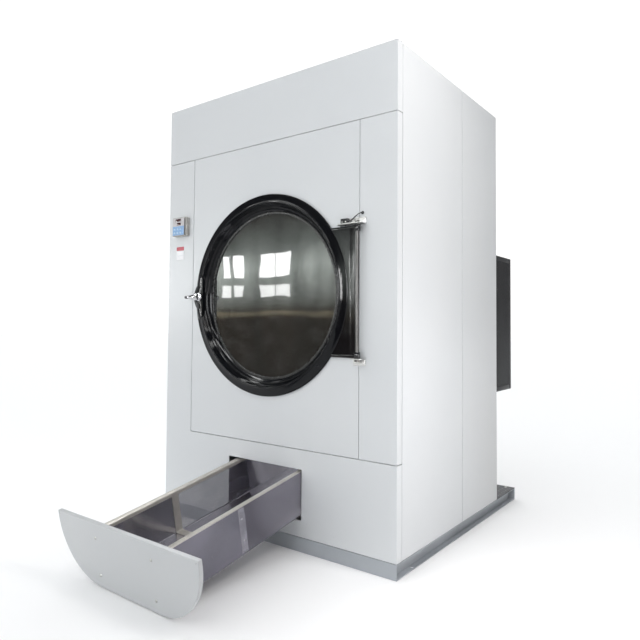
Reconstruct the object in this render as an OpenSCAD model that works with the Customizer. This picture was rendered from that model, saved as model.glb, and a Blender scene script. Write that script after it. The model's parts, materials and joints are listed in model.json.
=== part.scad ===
// Commercial tumble dryer with a hinged glass door and a lint drawer that runs out
// over a roller and droops. Millimetres, +Z up, -Y is the front, +X is the right
// side seen from the front. The origin is the centre of the four anchor holes, on
// the floor. The drawer is drawn pulled out and the door shut.

/* [Cabinet] */
// Width of the cabinet
cab_w = 1570; // [1500:10:1700]
// Height from the floor to the top
cab_h = 2400; // [2350:10:2500]
// Depth of the cabinet body
cab_d = 1220; // [1200:10:1300]
// Length of the base frame, front to back
base_len = 1540; // [1520:10:1700]
// Height of the base channels
base_h = 70; // [60:1:80]
// Depth of the folded edges of a panel
panel_d = 20; // [15:1:25]
// Thickness of the panel sheet
sheet = 2; // [1.5:0.1:2.5]
// Width of the gap between two panels
seam = 3; // [2:0.5:4]

/* [Front] */
// Height of the seam under the header panel
header_z = 2076; // [2060:1:2100]
// Height of the seam over the lower panel
lower_z = 496; // [480:1:520]
// Place of the seam left of the door
left_seam_x = -570; // [-590:1:-550]
// Place of the seam right of the door
right_seam_x = 586; // [580:1:620]
// Depth of the corner returns at the sides
return_d = 45; // [30:1:60]
// Depth at which the side is split into two panels
side_split = 710; // [600:5:800]

/* [Door] */
// Height of the drum and door axis
axis_z = 1268; // [1250:1:1290]
// Outer radius of the door ring
ring_r = 527; // [515:1:540]
// Radius of the raised crest of the door ring
crest_r = 482; // [470:1:495]
// Radius of the visible glass
glass_r = 428; // [400:1:434]
// Depth of the glass behind the front panels
glass_y = 36; // [30:1:40]
// Radius of the opening in the door panel
mouth_r = 505; // [500:1:512]
// Place of the hinge rod, left to right
hinge_x = 593; // [588:1:610]
// Distance of the hinge rod in front of the panels
hinge_out = 30; // [28:1:40]
// Radius of the hinge rod
hinge_r = 8; // [6:0.5:10]
// Lowest height of the hinge plate
plate_z0 = 960; // [940:1:1000]
// Highest height of the hinge plate
plate_z1 = 1576; // [1540:1:1590]

/* [Drum] */
// Outer radius of the drum
drum_r = 650; // [620:5:660]
// Length of the drum shell
drum_len = 930; // [850:10:960]
// Radius of the drum's mouth
drum_mouth_r = 470; // [460:1:500]
// Height of the lifters
lifter_h = 100; // [60:5:120]
// Radius of the drum shaft
shaft_r = 45; // [35:1:55]

/* [Drive] */
// Running radius of the big pulley
pulley_r = 262; // [220:1:264]
// Running radius of the motor pulley
motor_pulley_r = 58; // [45:1:70]
// Place of the motor axis, left to right
motor_x = 520; // [480:5:560]
// Height of the motor axis
motor_z = 880; // [860:5:920]

/* [Lint drawer] */
// Droop of the open drawer
droop = 10; // [6:0.5:10]
// Travel of the drawer
travel = 810; // [600:10:810]
// Place of the drawer's middle, left to right
drawer_x = 22; // [0:1:26]
// Half of the drawer's width
drawer_b = 224; // [200:1:226]
// Height of the drawer's wall with its rail
wall_h = 215; // [180:1:215]
// Length of the drawer tray
tray_len = 930; // [860:10:950]
// Half of the width of the drawer's front plate
plate_b = 462; // [440:1:470]
// Height of the drawer's front plate
plate_h = 286; // [280:1:286]
// Corner radius at the bottom of the front plate
plate_r = 262; // [200:1:270]
// Distance from the rails up to the top of the front plate
plate_up = 45; // [40:1:45]

/* [Controls] */
// Width of the control box
box_w = 117; // [100:1:130]
// Height of the control box
box_h = 110; // [100:1:120]
// Depth of the control box
box_d = 30; // [25:1:35]
// Left edge of the control box
box_x = -723; // [-740:1:-720]
// Lowest height of the control box
box_z = 1632; // [1600:1:1660]
// Stroke of a key
key_stroke = 1.2; // [0.8:0.1:1.5]

/* [Hidden] */
front_y = -base_len / 2;
back_y = front_y + cab_d;
base_y1 = base_len / 2;
half_w = cab_w / 2;
over = 1;
fit_gap = 0.05;
weld = 0.3;

post_w = 50;
post_t = 3;
post_x = half_w - panel_d - 2;
post_front = front_y + panel_d + 2;
post_back = back_y - panel_d - 2;
beam_top = cab_h - panel_d - 4;
beam_low = 470;

rail_w = 35;
rail_t = 5;
anchor_x = half_w - 15;
anchor_y = 600;
anchor_r = 9;

door_back = front_y + 46;
seat_y = front_y + 55;
throat_r = 453;
throat_y1 = -668;
hinge_y = front_y - hinge_out;
leaf_y0 = front_y - 14;
leaf_y1 = front_y - 2;
sleeve_r = 14;
sleeve_h = 30;
bracket_t = 4;
bracket_out = 48;
bracket_h = 34;
top_shelf_z = plate_z1 + 4;
low_shelf_z = plate_z0 - 0.5;
handle_x = -490;
handle_z = axis_z;
handle_y = front_y - 36;
handle_tip = -590;
spindle_r = 7;
switch_x = 512;
switch_y = front_y - 10;
plunger_r = 3;

drum_y0 = -655;
drum_y1 = drum_y0 + drum_len;
drum_t = 3;
case_r = 680;
case_t = 3;
case_y0 = throat_y1;
case_y1 = drum_y1 + 17;
duct_x = 430;
duct_z1 = 2320;
sump_x = 400;
screen_z = 560;
coil_z = 2160;
coil_x = 380;
steam_r = 24.15;
drain_r = 13.45;
pipe_y0 = back_y + 5;
pipe_y1 = back_y + 60;

fan_y = 180;
fan_z = 335;
fan_r = 190;
fan_x0 = -540;
fan_x1 = -280;
outlet_h = 240;
spigot_r = 112;
spigot_x = (fan_x0 + fan_x1) / 2;
spigot_z = fan_z - fan_r + outlet_h / 2;
fan_shaft_r = 14;

belt_y0 = 602;
belt_y1 = 638;
belt_t = 8;
belt_gap = 0.3;
motor_shaft_r = 19;
guard_x0 = -330;
guard_x1 = 775;
guard_y1 = 740;
guard_z0 = 713;
guard_z1 = 1552;
guard_w = 30;

roll_y = front_y + 34;
roll_z = 166;
roll_gap = 12;
roll_r = roll_gap - 0.2;
roll_pin_r = 5;
tray_y0 = front_y - 1 - roll_y;
tray_t = 2;
front_fold = 18;
brace_y = 410;
rail_top = roll_gap + wall_h;
front_top = rail_top + plate_up;
mouth_x = 252;
mouth_z0 = 153;
mouth_z1 = 400;
screw_x = 185;
screw_z = [front_top - 68, front_top - 233];

face_y = front_y - box_d;
key_w = 16;
key_h = 12;
key_x = [for (i = [0:2]) box_x + 20 + 26 * i];
key_z = [box_z + 42, box_z + 19];
pad_x0 = box_x + 3;
pad_x1 = box_x + box_w - 14;
pad_z0 = box_z + 5;
pad_z1 = box_z + 58;
displays = [[box_x + 26, box_x + 74, box_z + 85, box_z + 101],
    [box_x + 39, box_x + 74, box_z + 63, box_z + 79]];

$fn = 96;

// A box between two corners.
module block(x0, x1, y0, y1, z0, z1) {
    translate([x0, y0, z0]) cube([x1 - x0, y1 - y0, z1 - z0]);
}

// Round bars along each axis.
module bar_x(r, y, z, x0, x1) {
    translate([x0, y, z]) rotate([0, 90, 0]) cylinder(r = r, h = x1 - x0);
}
module bar_y(r, x, z, y0, y1) {
    translate([x, y0, z]) rotate([-90, 0, 0]) cylinder(r = r, h = y1 - y0);
}
module bar_z(r, x, y, z0, z1) {
    translate([x, y, z0]) cylinder(r = r, h = z1 - z0);
}

// A profile of [radius, y] points turned about the drum axis.
module turned(points, x = 0, z = axis_z) {
    translate([x, 0, z]) rotate([-90, 0, 0]) rotate_extrude($fn = 180) polygon(points);
}

// A plain round shell about the drum axis.
module shell_y(r0, r1, y0, y1) {
    turned([[r0, y0], [r1, y0], [r1, y1], [r0, y1]]);
}

// Sheet trays: a skin with folded edges behind it.
module front_tray(x0, x1, z0, z1) {
    difference() {
        block(x0, x1, front_y, front_y + panel_d, z0, z1);
        block(x0 + sheet, x1 - sheet, front_y + sheet, front_y + panel_d + over,
            z0 + sheet, z1 - sheet);
    }
}
module side_tray(side, y0, y1) {
    z0 = base_h + 2;
    z1 = cab_h - 2;
    mirror([side < 0 ? 1 : 0, 0, 0]) difference() {
        block(half_w - panel_d, half_w, y0, y1, z0, z1);
        block(half_w - panel_d - over, half_w - sheet, y0 + sheet, y1 - sheet,
            z0 + sheet, z1 - sheet);
    }
}

// The folded return of a front panel round a cabinet corner.
module corner_return(side, z0, z1) {
    mirror([side < 0 ? 1 : 0, 0, 0])
        block(half_w - sheet, half_w, front_y, front_y + return_d, z0, z1);
}

// Square tube along x, y or z, open at both ends.
module tube_x(x0, x1, y, z, w, h) {
    difference() {
        block(x0, x1, y, y + w, z, z + h);
        block(x0 - over, x1 + over, y + post_t, y + w - post_t,
            z + post_t, z + h - post_t);
    }
}
module tube_y(y0, y1, x, z, w, h) {
    difference() {
        block(x, x + w, y0, y1, z, z + h);
        block(x + post_t, x + w - post_t, y0 - over, y1 + over,
            z + post_t, z + h - post_t);
    }
}
module tube_z(z0, z1, x, y, w) {
    difference() {
        block(x, x + w, y, y + w, z0, z1);
        block(x + post_t, x + w - post_t, y + post_t, y + w - post_t,
            z0 - over, z1 + over);
    }
}

// ---- base and frame ----

module side_rail() {
    y0 = front_y + rail_w + weld;
    y1 = base_y1 - rail_w - weld;
    difference() {
        block(half_w - rail_w, half_w, y0, y1, 0, base_h);
        block(half_w - rail_w + rail_t, half_w + over, y0 - over, y1 + over,
            rail_t, base_h - rail_t);
        for (y = [-anchor_y, anchor_y]) bar_z(anchor_r, anchor_x, y, -over, rail_t + over);
    }
}
module end_rail() {
    difference() {
        block(-half_w, half_w, front_y, front_y + rail_w, 0, base_h);
        block(-half_w - over, half_w + over, front_y + rail_t, front_y + rail_w + over,
            rail_t, base_h - rail_t);
    }
}
module base_frame() color("slategray") {
    for (side = [0, 1]) {
        mirror([side, 0, 0]) side_rail();
        mirror([0, side, 0]) end_rail();
    }
    x1 = half_w - rail_w - weld;
    for (y = [post_front + 20, 130, post_back - post_w]) {
        tube_x(-x1, x1, y, 0, post_w, base_h);
    }
}

module rear_deck() color("dimgray") {
    block(-half_w, half_w, back_y + 2, base_y1, base_h, base_h + 4);
}

module main_frame() color("gray") {
    inner = post_x - post_w;
    for (side = [0, 1]) mirror([side, 0, 0]) {
        for (y = [post_front, post_back - post_w]) {
            tube_z(base_h, beam_top, inner, y, post_w);
        }
        for (z = [beam_low, beam_top - post_w]) {
            tube_y(post_front + post_w + weld, post_back - post_w - weld, inner, z,
                post_w, post_w);
        }
    }
    x1 = inner - weld;
    for (y = [post_front, post_back - post_w]) {
        tube_x(-x1, x1, y, beam_top - post_w, post_w, post_w);
    }
    tube_x(-x1, x1, post_front, beam_low, post_w, post_w);
    for (z = [axis_z - 160, axis_z + 80]) {
        tube_x(-x1, x1, post_back - post_w, z, post_w, 80);
    }
}

// ---- casing panels ----

// Outline of the left strip and the lower panel, which are one pressing.
module surround_outline(inset) {
    x1 = left_seam_x - inset;
    z1 = lower_z - inset;
    polygon([[-half_w + inset, base_h + 2 + inset], [half_w - inset, base_h + 2 + inset],
        [half_w - inset, z1], [x1, z1], [x1, header_z - seam - inset],
        [-half_w + inset, header_z - seam - inset]]);
}
module upright(y0, y1) {
    translate([0, y1, 0]) rotate([90, 0, 0]) linear_extrude(y1 - y0) children();
}
module front_surround() color("whitesmoke") {
    difference() {
        upright(front_y, front_y + panel_d) surround_outline(0);
        upright(front_y + sheet, front_y + panel_d + over) surround_outline(sheet);
        block(-mouth_x, mouth_x, front_y - over, front_y + panel_d + over,
            mouth_z0, mouth_z1);
    }
    corner_return(-1, base_h + 2, header_z - seam);
    corner_return(1, base_h + 2, lower_z);
}

module door_panel() color("white") {
    difference() {
        front_tray(left_seam_x + seam, right_seam_x - seam, lower_z + seam,
            header_z - seam);
        bar_y(mouth_r, 0, axis_z, front_y - over, front_y + panel_d + over, $fn = 180);
    }
}
module right_strip() color("whitesmoke") {
    front_tray(right_seam_x, half_w, lower_z + seam, header_z - seam);
    corner_return(1, lower_z + seam, header_z - seam);
}
module header_panel() color("white") {
    front_tray(-half_w, half_w, header_z, cab_h);
    corner_return(-1, header_z, cab_h);
    corner_return(1, header_z, cab_h);
}

split_y = front_y + side_split;
side_y0 = front_y + return_d + seam;
module right_front_panel() color("gainsboro") side_tray(1, side_y0, split_y - seam);
module right_rear_panel() color("gainsboro") side_tray(1, split_y + seam, back_y);
module left_front_panel() color("gainsboro") side_tray(-1, side_y0, split_y - seam);
module left_rear_panel() color("gainsboro") side_tray(-1, split_y + seam, back_y);

module top_cover() color("white") {
    x1 = post_x;
    y0 = post_front;
    y1 = post_back;
    z1 = cab_h - 2;
    slots = 12;
    difference() {
        block(-x1, x1, y0, y1, z1 - panel_d, z1);
        block(-x1 + sheet, x1 - sheet, y0 + sheet, y1 - sheet,
            z1 - panel_d - over, z1 - sheet);
        for (i = [0:slots - 1]) {
            block(-350, 350, -480 + 50 * i, -460 + 50 * i, z1 - panel_d - over, z1 + over);
        }
    }
}

module rear_panel() color("gainsboro") {
    y0 = post_back + 2;
    z0 = base_h + 2;
    z1 = cab_h - 2;
    difference() {
        block(-post_x, post_x, y0, back_y, z0, z1);
        block(-post_x + sheet, post_x - sheet, y0 - over, back_y - sheet,
            z0 + sheet, z1 - sheet);
        bar_y(shaft_r + 15, 0, axis_z, y0 - over, back_y + over);
        bar_y(spigot_r + 2, spigot_x, spigot_z, y0 - over, back_y + over);
        bar_y(steam_r + 4, coil_x, coil_z, y0 - over, back_y + over);
        bar_y(drain_r + 4, -coil_x, coil_z, y0 - over, back_y + over);
        bar_y(12, gland_x, gland_z, y0 - over, back_y + over);
    }
}

// ---- door seat, hinge and door switch ----

module seat_ring() color("silver") {
    outer = mouth_r + 3;
    t = 3;
    turned([[outer, front_y + sheet], [outer + t, front_y + sheet],
        [outer + t, seat_y + t], [throat_r + t, seat_y + t], [throat_r + t, throat_y1],
        [throat_r, throat_y1], [throat_r, seat_y], [outer, seat_y]]);
}
module door_seal() color("black") {
    shell_y(throat_r + 5, throat_r + 23, door_back + 1, seat_y);
}

// An angle bracket that holds one end of the hinge rod, made with its shelf at
// height 0 and its flange over it.
module hinge_bracket(x0, x1) {
    difference() {
        union() {
            block(x0, x1, front_y - bracket_out, front_y, 0, bracket_t);
            block(x0, x1, front_y - bracket_t, front_y, bracket_t, bracket_h);
        }
        bar_z(hinge_r, hinge_x, hinge_y, -over, bracket_t + over);
    }
}
module hinge_brackets() color("silver") {
    translate([0, 0, top_shelf_z]) difference() {
        hinge_bracket(478, 622);
        bar_z(plunger_r + 1, switch_x, switch_y, -over, bracket_t + over);
    }
    translate([0, 0, low_shelf_z]) mirror([0, 0, 1]) hinge_bracket(555, 622);
}
module hinge_rod() color("silver") {
    head = 10;
    z0 = low_shelf_z - bracket_t;
    z1 = top_shelf_z + bracket_t;
    bar_z(hinge_r, hinge_x, hinge_y, z0 - head, z1 + head);
    bar_z(13, hinge_x, hinge_y, z0 - head + 2, z0, $fn = 6);
    bar_z(13, hinge_x, hinge_y, z1, z1 + head - 2, $fn = 6);
}

switch_z = top_shelf_z + bracket_t;
module switch_body() color("black") {
    difference() {
        block(switch_x - 20, switch_x + 20, switch_y - 14, switch_y + 6,
            switch_z, switch_z + 28);
        bar_z(plunger_r + fit_gap, switch_x, switch_y, switch_z - over, switch_z + 10);
    }
}
module switch_plunger() color("white") {
    bar_z(plunger_r, switch_x, switch_y, plate_z1 + 1.5, switch_z + 7);
}

// A round tube of radius r swept along points, closed at both ends.
function unit(v) = v / norm(v);
function tangent(p, i) = unit(p[min(i + 1, len(p) - 1)] - p[max(i - 1, 0)]);
function ring_points(p, i, r, n) =
    let (t = tangent(p, i), a = unit(cross(t, [0.31, 0.87, 0.39])), b = cross(t, a))
    [for (k = [0:n - 1]) p[i] + r * (cos(360 * k / n) * a + sin(360 * k / n) * b)];
module swept(p, r, n = 8) {
    m = len(p);
    points = [for (i = [0:m - 1]) each ring_points(p, i, r, n)];
    sides = [for (i = [0:m - 2], k = [0:n - 1])
        [i * n + k, i * n + (k + 1) % n, (i + 1) * n + (k + 1) % n, (i + 1) * n + k]];
    ends = [[for (k = [0:n - 1]) n - 1 - k], [for (k = [0:n - 1]) (m - 1) * n + k]];
    polyhedron(points, concat(sides, ends));
}
wire_r = 2.5;
wire_x = switch_x + 20;
wire_path = [[wire_x + 1, -784, 1600], [wire_x + 8, -784, 1601], [wire_x + 18, -784, 1604],
    [wire_x + 30, -785, 1611], [wire_x + 42, -786, 1620], [wire_x + 52, -787, 1627],
    [wire_x + 60, -786, 1631], [wire_x + 66, -783, 1633], [wire_x + 69, -778, 1634],
    [wire_x + 70, -770.5, 1634]];
module switch_wire() color("black") swept(wire_path, wire_r);

// ---- controls ----

module control_box() color("lightgray") {
    difference() {
        block(box_x, box_x + box_w, face_y, front_y, box_z, box_z + box_h);
        block(pad_x0, pad_x1, face_y - over, face_y + 1.5, pad_z0, pad_z1);
        for (x = key_x, z = key_z) {
            block(x - key_w / 2 - 1, x + key_w / 2 + 1, face_y, face_y + 6,
                z - key_h / 2 - 1, z + key_h / 2 + 1);
        }
        for (d = displays) block(d[0], d[1], face_y - over, face_y + 2, d[2], d[3]);
    }
}
module control_face() color("skyblue") {
    difference() {
        block(pad_x0, pad_x1, face_y - 0.5, face_y + 1.5, pad_z0, pad_z1);
        for (x = key_x, z = key_z) {
            block(x - key_w / 2 - 0.3, x + key_w / 2 + 0.3, face_y - over, face_y + 3,
                z - key_h / 2 - 0.3, z + key_h / 2 + 0.3);
        }
    }
    for (d = displays) block(d[0], d[1], face_y - 0.5, face_y + 2, d[2], d[3]);
}
module key(i) color("steelblue") {
    x = key_x[i % 3];
    z = key_z[floor(i / 3)];
    block(x - key_w / 2, x + key_w / 2, face_y - 2, face_y + 6 - key_stroke - 0.4,
        z - key_h / 2, z + key_h / 2);
}
module key_1() key(0);
module key_2() key(1);
module key_3() key(2);
module key_4() key(3);
module key_5() key(4);
module key_6() key(5);
module rating_label() color("mistyrose") {
    block(-720, -650, front_y - 1, front_y, 1492, 1574);
}

// ---- drum, bearing and casing inside ----

module drum_shell() color("silver") {
    r0 = drum_r - drum_t;
    turned([[r0, drum_y1], [drum_r, drum_y1], [drum_r, drum_y0 - 6],
        [drum_mouth_r, drum_y0 - 6], [drum_mouth_r, drum_y0 + 15],
        [drum_mouth_r + 4, drum_y0 + 15], [drum_mouth_r + 4, drum_y0], [r0, drum_y0]]);
}
module drum_back() color("silver") {
    spokes = 6;
    difference() {
        union() {
            bar_y(drum_r, 0, axis_z, drum_y1, drum_y1 + 6, $fn = 180);
            bar_y(110, 0, axis_z, drum_y1 + 6, drum_y1 + 21);
            for (i = [0:spokes - 1]) {
                translate([0, 0, axis_z]) rotate([0, 360 * i / spokes, 0])
                    block(-30, 30, drum_y1 + 6, drum_y1 + 14, 0, drum_r - 20);
            }
        }
        bar_y(shaft_r, 0, axis_z, drum_y1 + 6, drum_y1 + 22);
    }
}
module drum_lifters() color("lightgray") {
    half = 60;
    tip = 15;
    t = 3;
    lifters = 4;
    foot = sqrt(pow(drum_r - drum_t, 2) - half * half) - 0.1;
    for (i = [0:lifters - 1]) {
        translate([0, drum_y1 - 10, axis_z]) rotate([90, 45 + 360 * i / lifters, 0])
            linear_extrude(drum_len - 30) difference() {
                polygon([[-half, foot], [half, foot], [tip, foot - lifter_h],
                    [-tip, foot - lifter_h]]);
                polygon([[-half + t, foot + over], [half - t, foot + over],
                    [tip - t, foot - lifter_h + t], [-tip + t, foot - lifter_h + t]]);
            }
    }
}
module drum_shaft() color("silver") {
    bar_y(shaft_r, 0, axis_z, drum_y1 + 6, 650);
}
module bearing_housing() color("darkslategray") {
    y0 = post_back - post_w - 78;
    flange_y = post_back - post_w - 16;
    difference() {
        union() {
            bar_y(75, 0, axis_z, y0, post_back + 2);
            block(-150, 150, flange_y, flange_y + 16, axis_z - 150, axis_z + 150);
        }
        bar_y(shaft_r + fit_gap, 0, axis_z, y0 - over, post_back + 3);
    }
}

// Section of the air casing: the round case, the heater duct over it and the sump.
module case_section(grow) {
    circle(r = case_r + grow, $fn = 180);
    translate([-duct_x - grow, 0]) square([2 * (duct_x + grow), duct_z1 - axis_z]);
    translate([-sump_x - grow, screen_z - axis_z])
        square([2 * (sump_x + grow), axis_z - screen_z]);
}
module case_slab(y0, y1, grow) {
    translate([0, y1, axis_z]) rotate([90, 0, 0])
        linear_extrude(y1 - y0) case_section(grow);
}
module inner_casing() color("lightsteelblue") {
    difference() {
        case_slab(case_y0 - case_t, case_y1 + case_t, case_t);
        case_slab(case_y0, case_y1, 0);
        block(-duct_x, duct_x, case_y0, case_y1, axis_z + case_r, duct_z1 + over);
        block(-sump_x, sump_x, case_y0, case_y1, screen_z - over, screen_z + 20);
        bar_y(throat_r + 4, 0, axis_z, case_y0 - case_t - over, case_y0 + over, $fn = 180);
        bar_y(122, 0, axis_z, case_y1 - over, case_y1 + case_t + over);
        bar_y(steam_r + 4, coil_x, coil_z, case_y1 - over, case_y1 + case_t + over);
        bar_y(drain_r + 4, -coil_x, coil_z, case_y1 - over, case_y1 + case_t + over);
    }
}
module heater_coil() color("peru") {
    tubes = 10;
    y0 = -560;
    pitch = 78;
    collar = 3;
    bar_y(steam_r, coil_x, coil_z, y0, pipe_y1);
    bar_y(steam_r + collar, coil_x, coil_z, y0, pipe_y0);
    bar_y(drain_r, -coil_x, coil_z, y0, pipe_y1);
    bar_y(drain_r + collar, -coil_x, coil_z, y0, pipe_y0);
    for (i = [0:tubes - 1]) bar_x(12, y0 + 40 + pitch * i, coil_z, -coil_x, coil_x);
}
module lint_screen() color("silver") {
    z1 = screen_z - 2;
    w = 25;
    difference() {
        block(-sump_x, sump_x, case_y0 + 8, case_y1 - 8, z1 - w, z1);
        block(-sump_x + w, sump_x - w, case_y0 + 8 + w, case_y1 - 8 - w, z1 - w - over,
            z1 - 3);
    }
}

// ---- exhaust fan ----

module fan_housing() color("lightslategray") {
    t = 3;
    y1 = post_back;
    z0 = fan_z - fan_r;
    difference() {
        union() {
            bar_x(fan_r, fan_y, fan_z, fan_x0, fan_x1);
            block(fan_x0, fan_x1, fan_y, y1, z0, z0 + outlet_h);
            for (y = [140, 350]) block(fan_x0, fan_x1, y, y + 5, base_h, z0 + t);
        }
        bar_x(fan_r - t, fan_y, fan_z, fan_x0 + t, fan_x1 - t);
        block(fan_x0 + t, fan_x1 - t, fan_y, y1 + over, z0 + t, z0 + outlet_h - t);
        bar_x(130, fan_y, fan_z, fan_x1 - t - over, fan_x1 + over);
        bar_x(fan_shaft_r + 6, fan_y, fan_z, fan_x0 - over, fan_x0 + t + over);
    }
}
module fan_motor() color("darkcyan") {
    x0 = fan_x0 - 160;
    difference() {
        union() {
            bar_x(80, fan_y, fan_z, x0, fan_x0 - 2);
            block(x0 + 20, fan_x0 - 30, fan_y - 70, fan_y + 70, base_h, fan_z - 70);
        }
        bar_x(fan_shaft_r + fit_gap, fan_y, fan_z, fan_x0 - 62, fan_x0 + over);
    }
}
module fan_impeller() color("gray") {
    blades = 12;
    x0 = fan_x0 + 10;
    x1 = fan_x1 - 20;
    bar_x(fan_shaft_r, fan_y, fan_z, fan_x0 - 60, x0);
    bar_x(150, fan_y, fan_z, x0, x0 + 4);
    for (i = [0:blades - 1]) {
        translate([0, fan_y, fan_z]) rotate([360 * i / blades, 0, 0])
            block(x0 + 4, x1, -2, 2, 95, 148);
    }
}
module exhaust_spigot() color("silver") {
    y0 = post_back + 0.5;
    difference() {
        union() {
            bar_y(spigot_r, spigot_x, spigot_z, y0, back_y + 90);
            block(spigot_x - 128, spigot_x + 128, y0, y0 + 4, spigot_z - 118,
                spigot_z + 118);
        }
        bar_y(spigot_r - 2, spigot_x, spigot_z, y0 - over, back_y + 91);
    }
}
gland_x = 600;
gland_z = 350;
module cable_gland() color("black") {
    difference() {
        union() {
            bar_y(11.8, gland_x, gland_z, back_y - 10, back_y);
            bar_y(18, gland_x, gland_z, back_y, back_y + 8, $fn = 6);
            bar_y(14, gland_x, gland_z, back_y + 8, back_y + 25);
        }
        bar_y(9, gland_x, gland_z, back_y - 11, back_y + 26);
    }
}

// ---- belt drive and its guard ----

module drum_pulley() color("dimgray") {
    lip = pulley_r + 12;
    difference() {
        turned([[0, belt_y0 - 4], [lip, belt_y0 - 4], [lip, belt_y0 - 1],
            [pulley_r, belt_y0 - 1], [pulley_r, belt_y1 + 1], [lip, belt_y1 + 1],
            [lip, belt_y1 + 4], [pulley_r - 20, belt_y1 + 4],
            [pulley_r - 20, belt_y0 + 10], [80, belt_y0 + 10], [80, belt_y1 + 4],
            [0, belt_y1 + 4]]);
        bar_y(shaft_r, 0, axis_z, belt_y0 - 5, belt_y1 + 5);
    }
}
module motor_pulley() color("dimgray") {
    lip = motor_pulley_r + 12;
    translate([motor_x, 0, motor_z]) rotate([-90, 0, 0]) rotate_extrude() polygon([
        [0, 555], [motor_shaft_r, 555], [motor_shaft_r, belt_y0 - 4], [lip, belt_y0 - 4],
        [lip, belt_y0 - 1], [motor_pulley_r, belt_y0 - 1], [motor_pulley_r, belt_y1 + 1],
        [lip, belt_y1 + 1], [lip, belt_y1 + 4], [0, belt_y1 + 4]]);
}

// Outline of an open belt round both pulleys, grown outwards by a distance.
module belt_outline(grow) {
    big = pulley_r + grow;
    small = motor_pulley_r + grow;
    reach = [motor_x, motor_z - axis_z];
    lean = atan2(reach[1], reach[0]);
    spread = acos((big - small) / norm(reach));
    function on(r, a) = [r * cos(lean + a), r * sin(lean + a)];
    circle(r = big, $fn = 180);
    translate(reach) circle(r = small);
    polygon([on(big, spread), on(big, -spread), reach + on(small, -spread),
        reach + on(small, spread)]);
}
module drive_belt() color("black") {
    translate([0, belt_y1, axis_z]) rotate([90, 0, 0])
        linear_extrude(belt_y1 - belt_y0) difference() {
            belt_outline(belt_gap + belt_t);
            belt_outline(belt_gap);
        }
}
module drive_motor() color("darkcyan") {
    difference() {
        union() {
            bar_y(90, motor_x, motor_z, back_y + 8, 590);
            block(motor_x - 90, motor_x + 90, back_y, 590, motor_z - 100, motor_z - 86);
            block(motor_x - 110, motor_x + 110, back_y, back_y + 8, motor_z - 130,
                motor_z + 130);
        }
        bar_y(motor_shaft_r + fit_gap, motor_x, motor_z, 552, 591);
    }
}
module guard_frame() color("black") {
    w = guard_w;
    x = [guard_x0, guard_x1 - w];
    y = [back_y, guard_y1 - w];
    z = [guard_z0, guard_z1 - w];
    for (i = [0:1], k = [0:1]) {
        block(x[i], x[i] + w, y[k], y[k] + w, guard_z0, guard_z1);
        block(x[0] + w + weld, x[1] - weld, y[i], y[i] + w, z[k], z[k] + w);
        block(x[i], x[i] + w, y[0] + w + weld, y[1] - weld, z[k], z[k] + w);
    }
}
module guard_mesh() color("black") {
    w = guard_w;
    x0 = guard_x0 + w;
    x1 = guard_x1 - w;
    y0 = back_y + w;
    y1 = guard_y1 - w;
    z0 = guard_z0 + w;
    z1 = guard_z1 - w;
    t = 2;
    for (z = [guard_z0 + 2, guard_z1 - 4]) block(x0, x1, y0, y1, z, z + t);
    for (x = [guard_x0 + 2, guard_x1 - 4]) block(x, x + t, y0, y1, z0, z1);
    block(x0, x1, guard_y1 - 4, guard_y1 - 2, z0, z1);
}

// ---- door ----

// Points of an arc in the turned profile.
function arc(cx, cy, r, a0, a1, n) =
    [for (i = [0:n]) let (a = a0 + (a1 - a0) * i / n) [cx + r * cos(a), cy + r * sin(a)]];
module door_ring() color("black") {
    y0 = front_y;
    plug_r = 470;
    seat = glass_r + 16;
    difference() {
        turned(concat(
            [[ring_r, y0 - 1], [ring_r, y0 - 5]],
            arc(ring_r - 6, y0 - 5, 6, 0, -70, 4),
            arc(crest_r + 4, y0 - 6, 14, -75, -170, 8),
            [[crest_r - 16, y0 + 10], [crest_r - 20, y0 + 15], [seat + 11, y0 + 16],
                [seat + 6, y0 + 24], [seat, y0 + 28], [seat, door_back],
                [plug_r, door_back], [plug_r, y0 + 3], [plug_r + 6, y0 - 1]]));
        shell_y(seat + 4, plug_r - 4, y0 + 28, door_back + over);
        bar_y(spindle_r + fit_gap, handle_x, handle_z, y0 - 40, y0 + 5);
    }
    translate([0, leaf_y1, axis_z]) rotate([90, 0, 0]) linear_extrude(10) difference() {
        translate([-448, 0]) circle(r = 97);
        circle(r = ring_r - 1, $fn = 180);
    }
}
module glass_gasket() color("black") {
    y0 = front_y + glass_y;
    turned([[glass_r, y0 - 6], [glass_r + 16, y0 - 6], [glass_r + 16, door_back],
        [glass_r, door_back], [glass_r, y0 + 8], [glass_r + 8, y0 + 8],
        [glass_r + 8, y0], [glass_r, y0]]);
}
module door_glass() color("slategray", 0.6) {
    y0 = front_y + glass_y;
    bar_y(glass_r + 8, 0, axis_z, y0, y0 + 8, $fn = 180);
}
module hinge_plate() color("black") {
    edge = hinge_x - 18;
    difference() {
        block(400, edge, leaf_y0, leaf_y1, plate_z0, plate_z1);
        bar_y(ring_r, 0, axis_z, leaf_y0 - over, leaf_y1 + over, $fn = 180);
    }
    for (z = [plate_z0, plate_z1 - sleeve_h]) difference() {
        union() {
            bar_z(sleeve_r, hinge_x, hinge_y, z, z + sleeve_h);
            block(edge - 6, hinge_x, leaf_y0 - 6, leaf_y1 - 4, z, z + sleeve_h);
        }
        bar_z(hinge_r + fit_gap, hinge_x, hinge_y, z - over, z + sleeve_h + over);
    }
}
module door_handle() color("silver") {
    bar_y(spindle_r, handle_x, handle_z, handle_y, front_y + 18);
    bar_y(24, handle_x, handle_z, handle_y, front_y - 21);
    translate([handle_x, handle_y, handle_z]) rotate([0, -90, 0])
        cylinder(r1 = 13, r2 = 7, h = handle_x - handle_tip - 16);
    bar_x(9, handle_y, handle_z, handle_tip, handle_tip + 24);
    bar_y(12, handle_x, handle_z, front_y + 8, front_y + 18);
}

// ---- lint drawer ----

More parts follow.
